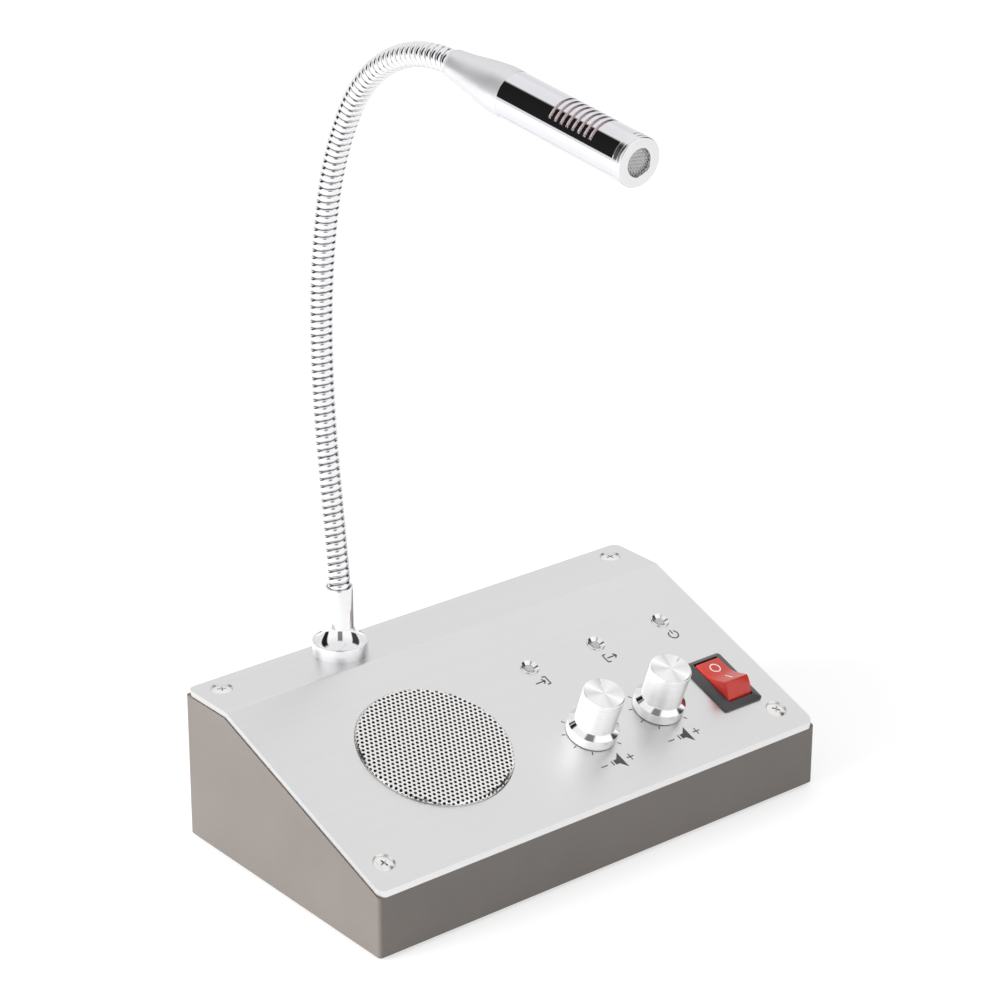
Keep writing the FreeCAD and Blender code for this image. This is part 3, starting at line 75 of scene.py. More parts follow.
@dataclass(frozen=True)
class Seat:
    """A place in the model's frame, in millimetres, with a tilt about X."""

    across: float
    along: float
    height: float
    tilt: float = 0.0

    def matrix(self, spin: float = 0.0) -> Matrix:
        """The change from a piece's own millimetres to the model's metres.

        Args:
            spin: Turn about the piece's own upright axis, in degrees.

        Returns:
            The matrix to give to a shape.
        """
        turn = Matrix.Rotation(math.radians(self.tilt), 4, "X")
        turn = turn @ Matrix.Rotation(math.radians(spin), 4, "Z")
        where = Matrix.Translation((self.across, self.along, self.height))
        return Matrix.Scale(MM, 4) @ where @ turn

    def point(self, across: float, along: float, height: float) -> Vector:
        """A point of the piece, in the model's metres."""
        return self.matrix() @ Vector((across, along, height))


ORIGIN = Seat(0.0, 0.0, 0.0)


@dataclass(frozen=True)
class Desk:
    """The case's outer sizes and the places on it."""

    depth: float = 93.0
    slope: float = 20.1
    slope_height: float = 22.0233
    flat_height: float = 48.7243

    def on_slope(self, across: float, up: float, out: float = 0.0) -> Seat:
        """A seat on the sloping panel.

        Args:
            across: Distance to the right of the middle.
            up: Distance up the slope from its front edge.
            out: Height over the panel.

        Returns:
            The seat, tilted with the panel.
        """
        lean = math.radians(self.slope)
        along = up * math.cos(lean) - out * math.sin(lean) - self.depth / 2
        height = self.slope_height + up * math.sin(lean) + out * math.cos(lean)
        return Seat(across, along, height, self.slope)

    def on_flat(self, across: float, along: float) -> Seat:
        """A seat on the level strip behind the fold."""
        return Seat(across, along, self.flat_height)


DESK = Desk()
COLUMNS = (13.7, 39.9, 66.1)
CONTROL_UP = 25.3
LAMP_UP = 55.8


@dataclass(frozen=True)
class NeckLine:
    """The middle line of the neck: runs of a length and a turn, from the column's top."""

    across: float = -33.0
    along: float = 38.1
    height: float = 70.2243
    runs: tuple[Point, ...] = (
        (6.7, -6.8), (32.7, 0.0), (39.3, 7.5), (40.3, 11.2), (32.2, 18.7), (54.3, 66.4),
    )

    @property
    def length(self) -> float:
        """Length of the line between its two sockets."""
        return sum(length for length, _ in self.runs)

    def seat(self, distance: float) -> Seat:
        """The line's place and heading.

        Args:
            distance: Millimetres along the line. It runs on straight past both ends.

        Returns:
            A seat whose upright axis runs along the line.
        """
        along, height, heading, left = self.along, self.height, 0.0, distance
        for length, turn in self.runs:
            if left <= 0.0:
                break
            step = min(left, length)
            bend = math.radians(turn) * step / length
            chord = step if abs(bend) < TINY else step * math.sin(bend / 2) / (bend / 2)
            along -= chord * math.sin(heading + bend / 2)
            height += chord * math.cos(heading + bend / 2)
            heading += bend
            left -= step
        along -= left * math.sin(heading)
        height += left * math.cos(heading)
        return Seat(self.across, along, height, math.degrees(heading))


NECK = NeckLine()


# Shapes


def arc(middle: Point, reach: float, start: float, end: float, steps: int) -> list[Point]:
    """Points along an arc, with both of its ends.

    Args:
        middle: Its centre.
        reach: Its radius.
        start: Angle of the first point, in radians.
        end: Angle of the last point.
        steps: How many steps there are between the points.

    Returns:
        The points.
    """
    turns = [start + (end - start) * step / steps for step in range(steps + 1)]
    return [(middle[0] + reach * math.cos(t), middle[1] + reach * math.sin(t)) for t in turns]


class Shape:
    """A closed form in millimetres, shaped with mesh operators."""

    def __init__(self) -> None:
        """Start with nothing."""
        self.mesh = bmesh.new()

    def clean(self) -> "Shape":
        """Join doubled corners and turn every face outwards.

        Returns:
            The shape.
        """
        bmesh.ops.remove_doubles(self.mesh, verts=self.mesh.verts[:], dist=1e-4)
        bmesh.ops.recalc_face_normals(self.mesh, faces=self.mesh.faces[:])
        return self

    def spin(
        self, geometry: list, angle: float, steps: int, rise: float = 0.0, merge: bool = False
    ) -> "Shape":
        """Sweep a part of the shape about the upright axis.

        Args:
            geometry: The corners, edges and faces to sweep.
            angle: The whole turn, in radians.
            steps: Steps of the turn.
            rise: Rise at each step.
            merge: Whether the end joins the start.

        Returns:
            The shape.
        """
        bmesh.ops.spin(
            self.mesh, geom=geometry, cent=(0, 0, 0), axis=(0, 0, 1), dvec=(0, 0, rise),
            angle=angle, steps=steps, use_merge=merge,
        )
        return self

    def line(self, section: Sequence[Point], ring: bool = False) -> list:
        """Draw a section in the plane of X and Z.

        Args:
            section: Radius and height of each corner.
            ring: Whether the last corner joins the first.

        Returns:
            Its corners and edges.
        """
        corners = [self.mesh.verts.new((radius, 0.0, height)) for radius, height in section]
        ends = corners[1:] + corners[:1] if ring else corners[1:]
        return [*corners, *(self.mesh.edges.new(pair) for pair in zip(corners, ends))]

    def turned(self, section: Sequence[Point], steps: int = 96, ring: bool = False) -> "Shape":
        """Turn a section about the upright axis.

        Args:
            section: Radius and height of each corner.
            steps: Sides of the full turn.
            ring: Whether the section closes on itself. Otherwise it starts and ends on the axis.

        Returns:
            The shape.
        """
        return self.spin(self.line(section, ring), math.tau, steps, merge=True).clean()

    def lift(self, faces: list[Face], rise: float) -> list[bmesh.types.BMVert]:
        """Draw faces out of the shape, straight up.

        Args:
            faces: The faces.
            rise: How far to draw them.

        Returns:
            The new corners.
        """
        made = bmesh.ops.extrude_face_region(self.mesh, geom=faces)["geom"]
        corners = [item for item in made if isinstance(item, bmesh.types.BMVert)]
        bmesh.ops.translate(self.mesh, verts=corners, vec=(0, 0, rise))
        return corners

    def prism(self, outline: Sequence[Point], low: float, high: float) -> "Shape":
        """Raise an outline from one height to another.

        Args:
            outline: Corners of the base.
            low: Height of the base.
            high: Height of the top.

        Returns:
            The shape.
        """
        corners = [self.mesh.verts.new((across, along, low)) for across, along in outline]
        self.lift([self.mesh.faces.new(corners)], high - low)
        return self.clean()

    def box(self, low: Sequence[float], high: Sequence[float]) -> "Shape":
        """An upright block between two corners."""
        corners = [(low[0], low[1]), (high[0], low[1]), (high[0], high[1]), (low[0], high[1])]
        return self.prism(corners, low[2], high[2])

    def round_edges(self, width: float, segments: int, test: Callable[[Edge], bool]) -> "Shape":
        """Bevel the edges that pass a test.

        Args:
            width: Width of the bevel.
            segments: Its steps.
            test: Which edges are meant.

        Returns:
            The shape.
        """
        bmesh.ops.bevel(
            self.mesh, geom=[edge for edge in self.mesh.edges if test(edge)], offset=width,
            offset_type="OFFSET", segments=segments, profile=0.5, affect="EDGES", material=-1,
            clamp_overlap=True,
        )
        return self

    def soften(self, width: float, segments: int = 2, angle: float = 40.0) -> "Shape":
        """Bevel every edge that is sharper than an angle.

        Args:
            width: Width of the bevel.
            segments: Its steps.
            angle: The angle, in degrees.

        Returns:
            The shape.
        """

        def is_sharp(edge: Edge) -> bool:
            """Whether two faces meet at the edge in more than the angle."""
            return len(edge.link_faces) == 2 and edge.calc_face_angle(0.0) > math.radians(angle)

        return self.round_edges(width, segments, is_sharp)

    def uprights(self, width: float, segments: int = 4) -> "Shape":
        """Round the upright edges.

        Args:
            width: Width of the rounding.
            segments: Its steps.

        Returns:
            The shape.
        """

        def is_upright(edge: Edge) -> bool:
            """Whether an edge stands straight up."""
            start, end = (corner.co for corner in edge.verts)
            return abs(start.x - end.x) < TINY and abs(start.y - end.y) < TINY

        return self.round_edges(width, segments, is_upright)

    def taper(self, height: float, rise: float, inset: Point) -> "Shape":
        """Raise the faces at one height further, drawn in towards the middle.

        Args:
            height: Where the faces lie.
            rise: How far they rise.
            inset: How far their sides draw in, along X and along Y.

        Returns:
            The shape.
        """
        top = [face for face in self.mesh.faces if abs(face.calc_center_median().z - height) < TINY]
        lifted = self.lift(top, rise)
        bmesh.ops.delete(self.mesh, geom=top, context="FACES_ONLY")
        reach = max(corner.co.x for corner in lifted), max(corner.co.y for corner in lifted)
        share = tuple(1.0 - away / whole for away, whole in zip(inset, reach))
        bmesh.ops.scale(self.mesh, verts=lifted, vec=(*share, 1.0))
        return self.clean()

    def move(self, matrix: Matrix) -> "Shape":
        """Move, turn or scale the shape."""
        bmesh.ops.transform(self.mesh, matrix=matrix, verts=self.mesh.verts[:])
        return self

    def shift(self, across: float, along: float, height: float) -> "Shape":
        """Move the shape without a turn."""
        return self.move(Matrix.Translation((across, along, height)))

    def reshape(self, change: Callable[[Vector], Vector]) -> "Shape":
        """Move every corner by a rule.

        Args:
            change: Gives the new place of a corner.

        Returns:
            The shape.
        """
        for corner in self.mesh.verts:
            corner.co = change(corner.co)
        return self

    def mark(self, test: Callable[[Face], bool]) -> "Shape":
        """Give the faces that pass a test the second of the piece's finishes.

        Args:
            test: Which faces are meant.

        Returns:
            The shape.
        """
        for face in self.mesh.faces:
            face.material_index = int(test(face))
        return self

    def take(self, *others: "Shape") -> "Shape":
        """Add other shapes, which are used up.

        Args:
            others: The other shapes.

        Returns:
            The shape.
        """
        for other in others:
            data = bpy.data.meshes.new("part")
            other.mesh.to_mesh(data)
            other.mesh.free()
            self.mesh.from_mesh(data)
            bpy.data.meshes.remove(data)
        return self

    def copies(self, matrices: Sequence[Matrix]) -> "Shape":
        """Replace the shape by copies of itself, one for each matrix.

        Args:
            matrices: Their places.

        Returns:
            The shape.
        """
        data = bpy.data.meshes.new("part")
        self.mesh.to_mesh(data)
        self.mesh.clear()
        for matrix in matrices:
            part = data.copy()
            part.transform(matrix)
            self.mesh.from_mesh(part)
            bpy.data.meshes.remove(part)
        bpy.data.meshes.remove(data)
        return self

    def cut(self, tool: "Shape") -> "Shape":
        """Take away the space of another shape, which is used up.

        Args:
            tool: The other shape.

        Returns:
            The shape.
        """
        whole, knife = self.loose_object("whole"), tool.loose_object("knife")
        modifier = whole.modifiers.new("cut", "BOOLEAN")
        modifier.operation, modifier.solver, modifier.object = "DIFFERENCE", "EXACT", knife
        bpy.context.view_layer.update()
        graph = bpy.context.evaluated_depsgraph_get()
        data = bpy.data.meshes.new_from_object(whole.evaluated_get(graph))
        self.mesh = bmesh.new()
        self.mesh.from_mesh(data)
        for item in (whole, knife):
            old = item.data
            bpy.data.objects.remove(item)
            bpy.data.meshes.remove(old)
        bpy.data.meshes.remove(data)
        bmesh.ops.dissolve_degenerate(self.mesh, dist=1e-4, edges=self.mesh.edges[:])
        return self

    def loose_object(self, name: str) -> bpy.types.Object:
        """An object of the shape as it is. The shape is used up.

        Args:
            name: Its name.

        Returns:
            The object.
        """
        data = bpy.data.meshes.new(name)
        self.mesh.to_mesh(data)
        self.mesh.free()
        item = bpy.data.objects.new(name, data)
        bpy.context.scene.collection.objects.link(item)
        return item

    def made(self, name: str, place: Matrix | None = None, sharp: float = 32.0) -> bpy.types.Object:
        """Put the shape in its place and make a smooth-shaded object of it.

        Args:
            name: The object's name.
            place: Change to metres. Without one, the corners are in metres already.
            sharp: Angle in degrees past which an edge stays sharp.

        Returns:
            The object.
        """
        if place is not None:
            self.move(place)
        item = self.loose_object(name)
        item.data.shade_smooth()
        item.data.set_sharp_from_angle(angle=math.radians(sharp))
        return item


def rounded_box(size: Sequence[float], corner: float, low: float) -> Shape:
    """An upright block about the axis with rounded upright edges."""
    half, reach, height = size[0] / 2, size[1] / 2, size[2]
    return Shape().box((-half, -reach, low), (half, reach, low + height)).uprights(corner)


# Shader maths


def arithmetic(operation: str, swapped: bool = False) -> Callable[["Value", Number], "Value"]:
    """A method of Value for one of the signs.

    Args:
        operation: The step of arithmetic that it stands for.
        swapped: Whether the other number comes first.

    Returns:
        The method.
    """

    def step(value: "Value", other: Number) -> "Value":
        """What the step gives."""
        pair = [other, value] if swapped else [value, other]
        return value.shader.node("ShaderNodeMath", {"operation": operation}, pair)

    return step


class Value:
    """A socket of a material's nodes, with arithmetic."""

    __add__ = __radd__ = arithmetic("ADD")
    __sub__, __rsub__ = arithmetic("SUBTRACT"), arithmetic("SUBTRACT", swapped=True)
    __mul__ = __rmul__ = arithmetic("MULTIPLY")
    __pow__ = arithmetic("POWER")

    def __init__(self, shader: "Shader", socket: bpy.types.NodeSocket) -> None:
        """Hold a socket of a shader."""
        self.shader = shader
        self.socket = socket

    def math(self, operation: str, *others: Number) -> "Value":
        """One step of arithmetic on this value and others."""
        return self.shader.node("ShaderNodeMath", {"operation": operation}, [self, *others])

    def size(self) -> "Value":
        """This without its sign."""
        return self.math("ABSOLUTE")

    def cycle(self, length: float) -> "Value":
        """What is left of this after whole lengths."""
        return self.math("FLOORED_MODULO", length)

    def turn_from(self, middle: float) -> "Value":
        """How far this angle lies from another, either way round."""
        return ((self - math.radians(middle) + math.pi).cycle(math.tau) - math.pi).size()

    def smooth(self, low: float, high: float, start: float = 0.0, end: float = 1.0) -> "Value":
        """A soft step from start to end, between two values of this."""
        kind = {"interpolation_type": "SMOOTHSTEP"}
        return self.shader.node("ShaderNodeMapRange", kind, [self, low, high, start, end])

    def parts(self) -> tuple["Value", ...]:
        """The three parts of a point."""
        node = self.shader.node
        return tuple(node("ShaderNodeSeparateXYZ", {}, [self], output) for output in range(3))


class Shader:
    """The nodes of one material or of the surroundings."""

    def __init__(self, tree: bpy.types.NodeTree) -> None:
        """Start with an empty tree."""
        self.tree = tree
        tree.nodes.clear()

    def node(
        self,
        kind: str,
        settings: dict[str, str] | None = None,
        inputs: Sequence[Number] | dict[str | int, Number] = (),
        output: int = 0,
    ) -> Value:
        """Add a node.

        Args:
            kind: The node's type.
            settings: Its fields.
            inputs: Values or links of its sockets, in order or by name.
            output: Which of its outputs is wanted.

        Returns:
            That output.
        """
        item = self.tree.nodes.new(kind)
        for name, setting in (settings or {}).items():
            setattr(item, name, setting)
        for key, amount in inputs.items() if isinstance(inputs, dict) else enumerate(inputs):
            socket = item.inputs[key]
            if isinstance(amount, Value):
                self.tree.links.new(amount.socket, socket)
            elif isinstance(amount, tuple) and len(amount) == 3 and socket.type == "RGBA":
                socket.default_value = (*amount, 1.0)
            else:
                socket.default_value = amount
        return Value(self, item.outputs[output] if item.outputs else None)

    def where(self, seat: Seat = ORIGIN) -> Value:
        """A point of the surface, in millimetres, counted from a seat.

        Args:
            seat: The seat.

        Returns:
            The point.
        """
        inputs = {
            "Vector": self.node("ShaderNodeTexCoord", output=3),
            "Location": Vector((seat.across, seat.along, seat.height)) * MM,
            "Rotation": Euler((math.radians(seat.tilt), 0.0, 0.0)),
            "Scale": (MM, MM, MM),
        }
        return self.node("ShaderNodeMapping", {"vector_type": "TEXTURE"}, inputs)

    def stretch(self, point: Value, scale: Sequence[float]) -> Value:
        """A point with each part scaled."""
        return self.node("ShaderNodeVectorMath", {"operation": "MULTIPLY"}, [point, tuple(scale)])

    def noise(self, point: Value, scale: float, detail: float = 2.0, rough: float = 0.5) -> Value:
        """Soft noise from 0 to 1, with scale in waves for each millimetre."""
        inputs = {"Vector": point, "Scale": scale, "Detail": detail, "Roughness": rough}
        return self.node("ShaderNodeTexNoise", {}, inputs)

    def mix(self, share: Number, first: Number, second: Number) -> Value:
        """A colour between two others."""
        return self.node("ShaderNodeMix", {"data_type": "RGBA"}, {0: share, 6: first, 7: second}, 2)

    def relief(self, height: Value, depth: float, strength: float = 1.0) -> Value:
        """A bumped normal, with the depth of the bumps in millimetres."""
        inputs = {"Height": height, "Distance": depth * MM, "Strength": strength}
        return self.node("ShaderNodeBump", {}, inputs)

    def close(self, colour: Number, rough: Number, **more: Number) -> None:
        """Close the tree with the main surface shader.

        Args:
            colour: Its colour.
            rough: Its roughness.
            more: Its other inputs, with each space of their names as a low line.
        """
        inputs = {"Base Color": colour, "Roughness": rough}
        inputs |= {name.replace("_", " "): amount for name, amount in more.items()}
        surface = self.node("ShaderNodeBsdfPrincipled", {}, inputs)
        self.node("ShaderNodeOutputMaterial", {}, {"Surface": surface})


# Finishes


@dataclass(frozen=True)
class Finish:
    """What every finish has: a name and a colour."""

    name: str
    colour: Colour

    @property
    def material(self) -> bpy.types.Material:
        """The finish's material, made once.

        Returns:
            The material.
        """
        known = bpy.data.materials.get(self.name)
        if known is not None:
            return known
        item = bpy.data.materials.new(self.name)
        item.use_nodes = True
        item.diffuse_color = (*self.colour, 1.0)
        self.dress(Shader(item.node_tree))
        return item

    def dress(self, shader: Shader) -> None:
        """Add the finish's nodes."""
        raise NotImplementedError

    def shade(self, share: float) -> Colour:
        """The colour, lighter or darker."""
        return tuple(min(1.0, part * share) for part in self.colour)

    def tint(self, share: Value, dark: float, light: float) -> Value:
        """The colour, from darker to lighter by a share."""
        return share.shader.mix(share, self.shade(dark), self.shade(light))


@dataclass(frozen=True)
class Moulded(Finish):
    """Moulded plastic or rubber with a fine grain."""

    rough: float = 0.5
    grain: float = 2.2
    depth: float = 0.03

    def dress(self, shader: Shader) -> None:
        """Grain in the relief, and slow changes in colour and gloss.

        Args:
            shader: The material's nodes.
        """
        where = shader.where()
        grain = shader.noise(where, self.grain, 3.0, 0.6)
        slow = shader.noise(where, 0.05)
        colour = self.tint((grain - 0.5) * 0.5 + slow, 0.86, 1.14)
        normal = shader.relief(grain, self.depth)
        shader.close(colour, self.rough - 0.08 + 0.16 * slow, Normal=normal)


@dataclass(frozen=True)
class Brushed(Finish):
    """Sheet metal brushed along X."""

    rough: float = 0.3
    depth: float = 0.004
    contrast: float = 0.06

    def dress(self, shader: Shader) -> None:
        """Long fine scratches over broader streaks.

        Args:
            shader: The material's nodes.
        """
        where = shader.where()
        fine = shader.noise(shader.stretch(where, (0.02, 5.5, 5.5)), 1.0, 4.0, 0.7)
        broad = shader.noise(shader.stretch(where, (0.008, 0.6, 0.6)), 1.0)
        slow = shader.noise(where, 0.02, 1.0)
        streak = fine * 0.65 + broad * 0.35
        colour = self.tint(streak, 1.0 - self.contrast, 1.0 + self.contrast)
        rough = self.rough - 0.06 + 0.1 * fine + 0.06 * slow
        shader.close(colour, rough, Metallic=1.0, Normal=shader.relief(streak, self.depth))


@dataclass(frozen=True)
class Plated(Finish):
    """Plated or plain metal, from mirror to satin."""

    rough: float = 0.04
    smear: float = 0.03
    grain: float = 6.0
    depth: float = 0.0006
    metal: float = 1.0

    def dress(self, shader: Shader) -> None:
        """Faint smears in the gloss and a very fine grain.

        Args:
            shader: The material's nodes.
        """
        where = shader.where()
        slow = shader.noise(where, 0.12, 3.0)
        normal = shader.relief(shader.noise(where, self.grain, 2.0, 0.6), self.depth)
        rough = self.rough + self.smear * slow
        shader.close(self.tint(slow, 0.97, 1.03), rough, Metallic=self.metal, Normal=normal)


@dataclass(frozen=True)
class Spun(Finish):
    """Turned metal whose end face has painted reflections: light and dark rays as from lathe marks.

    Each painted reflection ray has the angle of its middle, half of its width, and how much it
    lightens or darkens the colour. The ledge is a polished band, given by the heights between which
    it starts and ends.
    """

    seat: Seat = ORIGIN
    top: float = 16.2
    painted_sheen_rays: tuple[tuple[float, float, float], ...] = ()
    rough: float = 0.05
    ledge: tuple[Point, Point] = ((3.42, 3.5), (4.8, 4.95))

    def dress(self, shader: Shader) -> None:
        """Rings in the relief everywhere, and painted reflection rays on the end face.

        Args:
            shader: The material's nodes.
        """
        across, along, height = shader.where(self.seat).parts()
        reach = (across * across + along * along) ** 0.5
        angle = along.math("ARCTAN2", across)
        point = shader.node("ShaderNodeCombineXYZ", {}, [reach, 0.0, height])
        rings = shader.noise(point, 7.0, 3.0, 0.7)
        on_top = height.smooth(self.top - 0.25, self.top - 0.1)
        below, above = self.ledge
        chamfer = height.smooth(*below) - height.smooth(*above)
        body = 1.0 - on_top - chamfer
        # Painted reflection: light and dark rays painted into the end face's colour, standing in
        # for the sheen of lathe marks.
        painted_sheen: Number = 0.5
        for middle, half, share in self.painted_sheen_rays:
            painted_sheen = painted_sheen + angle.turn_from(middle).smooth(0.0, math.radians(half), share, 0.0)
        tone = on_top * (painted_sheen - 0.5) + 0.5 + (rings - 0.5) * 0.2
        rough = self.rough + 0.2 * on_top + 0.2 * body + 0.06 * rings
        metal, normal = 1.0 - 0.6 * body, shader.relief(rings, 0.0012)
        shader.close(self.tint(tone, 0.68, 1.1), rough, Metallic=metal, Normal=normal)


@dataclass(frozen=True)
class Printed(Finish):
    """Screen-printed ink."""

    def dress(self, shader: Shader) -> None:
        """An even matt colour with the slight unevenness of a print.

        Args:
            shader: The material's nodes.
        """
        uneven = shader.noise(shader.where(), 1.5, 3.0)
        normal = shader.relief(uneven, 0.004)
        shader.close(self.tint(uneven, 0.85, 1.2), 0.5 + 0.15 * uneven, Normal=normal)


@dataclass(frozen=True)
class Glossy(Finish):
    """Smooth coloured plastic with a clear gloss and a little depth."""

    rough: float = 0.22
    depth: float = 0.01
    glow: float = 0.0
    glow_reach: float = 1.0

    def dress(self, shader: Shader) -> None:
        """Flow marks in the colour and a slightly uneven gloss.

        Args:
            shader: The material's nodes.
        """
        where = shader.where()
        flow, fine = shader.noise(where, 0.25), shader.noise(where, 2.5)
        shader.close(
            self.tint(flow, 0.92, 1.08), self.rough + 0.08 * (fine - 0.5),
            Subsurface_Weight=self.glow, Subsurface_Scale=self.glow_reach * MM, Coat_Weight=1.0,
            Coat_IOR=1.7, Coat_Roughness=0.1, Normal=shader.relief(fine, self.depth, 0.3),
        )


@dataclass(frozen=True)
class Clear(Finish):
    """Clear cast resin."""

    def dress(self, shader: Shader) -> None:
        """Clear, with a trace of cloud.

        Args:
            shader: The material's nodes.
        """
        cloud = shader.noise(shader.where(), 0.8)
        more = {"IOR": 1.5, "Transmission_Weight": 0.25, "Normal": shader.relief(cloud, 0.01)}
        shader.close(self.tint(cloud, 0.97, 1.0), 0.16 + 0.1 * cloud, **more)


@dataclass(frozen=True)
class Fibrous(Finish):
    """Paper, foam or felt."""

    fibre: float = 1.2
    depth: float = 0.12

    def dress(self, shader: Shader) -> None:
        """Open cells or fibres, matt.

        Args:
            shader: The material's nodes.
        """
        where = shader.where()
        inputs = {"Vector": where, "Scale": self.fibre}
        fuzz = shader.noise(where, 3.0, 4.0, 0.7)
        tone = shader.node("ShaderNodeTexVoronoi", {}, inputs) * 0.6 + fuzz * 0.5
        normal = shader.relief(tone, self.depth)
        shader.close(self.tint(tone, 0.6, 1.4), 0.85 + 0.1 * fuzz, Normal=normal)


@dataclass(frozen=True)
class Laminate(Finish):
    """Circuit board: a glossy mask over copper tracks."""

    track: Colour = (0.10, 0.34, 0.17)

    def dress(self, shader: Shader) -> None:
        """Tracks as the borders of square cells, slightly raised.

        Args:
            shader: The material's nodes.
        """
        across, along, _ = shader.where().parts()
        warp = shader.noise(shader.where(), 0.12, 0.0)
        row = ((across * 0.35 + warp * 4.0).cycle(1.0) - 0.5).size()
        line = ((along * 0.3 + warp * 3.0).cycle(1.0) - 0.5).size()
        tracks = row.math("MINIMUM", line).smooth(0.05, 0.09, 1.0, 0.0)
        colour, normal = shader.mix(tracks, self.colour, self.track), shader.relief(tracks, 0.03)
        shader.close(colour, 0.36 - 0.1 * tracks, Normal=normal)


class Look(Enum):
    """The finishes of the object."""

    CASE = Moulded("case_taupe", (0.124, 0.11, 0.099), 0.42, 2.4, 0.02)
    PAD = Moulded("pad_black", (0.03, 0.03, 0.03), 0.7, 1.6, 0.05)
    PANEL = Brushed("panel_brushed", (0.72, 0.72, 0.72), 0.32, 0.002, 0.05)
    SCREW = Plated("screw_bright", (0.82, 0.81, 0.79), 0.14, 0.08)
    GRILLE = Plated("grille_bright", (0.81, 0.8, 0.79), 0.16, 0.06, 5.0, 0.001)
    # Painted shade: a near-black finish for the inner side of the grille's steel sheet.
    GRILLE_SHADE = Moulded("grille_back_painted_shade", (0.035, 0.035, 0.036), 0.6, 2.0, 0.02)
    FOAM = Fibrous("gasket_foam", (0.05, 0.05, 0.05), 2.0, 0.2)
    CONE = Fibrous("cone_paper", (0.055, 0.055, 0.057), 1.1, 0.08)
    CAP = Fibrous("dust_cap_paper", (0.05, 0.05, 0.052), 1.6, 0.05)
    FERRITE = Moulded("magnet_ferrite", (0.09, 0.09, 0.1), 0.6, 1.0, 0.06)
    ZINC = Plated("zinc_plate", (0.6, 0.6, 0.62), 0.32, 0.12, 2.0, 0.004)
    CHROME = Plated("column_chrome", (0.79, 0.79, 0.8), 0.03, 0.03)
    RIM = Plated("rim_satin", (0.8, 0.8, 0.815), 0.3, 0.08, 5.0, 0.001, 0.75)
    HOSE = Plated("hose_chrome", (0.78, 0.78, 0.79), 0.08, 0.05, 3.0, 0.001)
    # Painted shade: a dark finish for the grooves between the hose's turns.
    HOSE_GAP_SHADE = Plated("hose_gap", (0.16, 0.16, 0.165), 0.4, 0.1, 3.0, 0.003)
    SATIN = Plated("mic_satin", (0.78, 0.78, 0.8), 0.12, 0.06, 5.0, 0.0008)
    BARREL = Plated("barrel_chrome", (0.73, 0.725, 0.755), 0.03, 0.02)
    LINER = Moulded("liner_pale", (0.44, 0.36, 0.355), 0.5, 1.5, 0.02)
    RING = Plated("end_ring_satin", (0.75, 0.75, 0.76), 0.14, 0.05, 6.0, 0.0008)
    WIRE = Plated("mesh_wire", (1.0, 0.96, 0.94), 0.3, 0.1, 3.0, 0.002, 0.05)
    CAPSULE = Plated("capsule_metal", (0.86, 0.83, 0.82), 0.5, 0.1)
    BOOT = Moulded("boot_rubber", (0.03, 0.03, 0.03), 0.7, 1.6, 0.05)
    BLACK = Moulded("switch_black", (0.045, 0.045, 0.048), 0.34, 3.0, 0.012)
    INSERT = Moulded("insert_black", (0.03, 0.03, 0.03), 0.5, 2.0, 0.02)
    RED = Glossy("rocker_red", (0.43, 0.092, 0.048), 0.3, 0.01, 0.25, 2.0)
    MARK = Printed("rocker_marks", (0.85, 0.78, 0.72))
    INK = Printed("panel_ink", (0.055, 0.055, 0.058))
    BEZEL = Plated("bezel_chrome", (0.9, 0.9, 0.9), 0.05, 0.04)
    LAMP = Clear("lamp_clear", (0.9, 0.9, 0.91))
    BRASS = Plated("blade_brass", (0.72, 0.5, 0.22), 0.25, 0.12, 2.0, 0.003)
    BOARD = Laminate("board_green", (0.03, 0.19, 0.08))
    CHIP = Moulded("chip_black", (0.03, 0.03, 0.032), 0.55, 2.5, 0.02)
    SLEEVE = Glossy("capacitor_sleeve", (0.02, 0.022, 0.03), 0.3)
    HEADER = Moulded("header_white", (0.72, 0.71, 0.66), 0.45, 2.0, 0.02)
    SINK = Brushed("sink_aluminium", (0.7, 0.7, 0.71), 0.34, 0.008, 0.08)

    @property
    def material(self) -> bpy.types.Material:
        """The material of this look."""
        return self.value.material


def settle(
    item: bpy.types.Object,
    finish: "Look | Finish | tuple[Look, Look]",
    slot: str,
    body: str | None = BASE,
    nodes: Sequence[str] = (),
) -> None:
    """Dress a new piece and tie it to the model.

    Args:
        item: The piece.
        finish: Its finish, or the two that its faces are marked for.
        slot: The record's material slot.
        body: The body that it rides on, or None, which leaves it loose.
        nodes: The solids that it stands for.
    """
    marked = [face.material_index for face in item.data.polygons]
    item.data.materials.clear()
    for one in finish if isinstance(finish, tuple) else (finish,):
        item.data.materials.append(one.material)
    item.data.polygons.foreach_set("material_index", marked)
    if body is not None:
        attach(item, body)
    if nodes:
        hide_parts(*nodes)
    LOG.info("%s: %d faces for %s", item.name, len(item.data.polygons), ", ".join(nodes) or slot)


def keep(look: Look, *nodes: str) -> None:
    """Give solids that stay as they are their finish.

    Args:
        look: The finish.
        nodes: Names of the solids.
    """
    for node in nodes:
        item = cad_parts[node]
        item.data.materials.clear()
        item.data.materials.append(look.material)
        LOG.info("%s: kept, %s", node, look.value.name)


# Studio


@dataclass(frozen=True)
class Flag:
    """A dark card in the surroundings: its middle and reach in azimuth, and its upper edge.

    A depth of one is a black card. Soft is the blur of its sides, and fade that of its edges.
    """

    azimuth: float
    half: float
    top: float
    fade: float
    depth: float = 0.985
    soft: float = 5.0
    low: float = -2.0


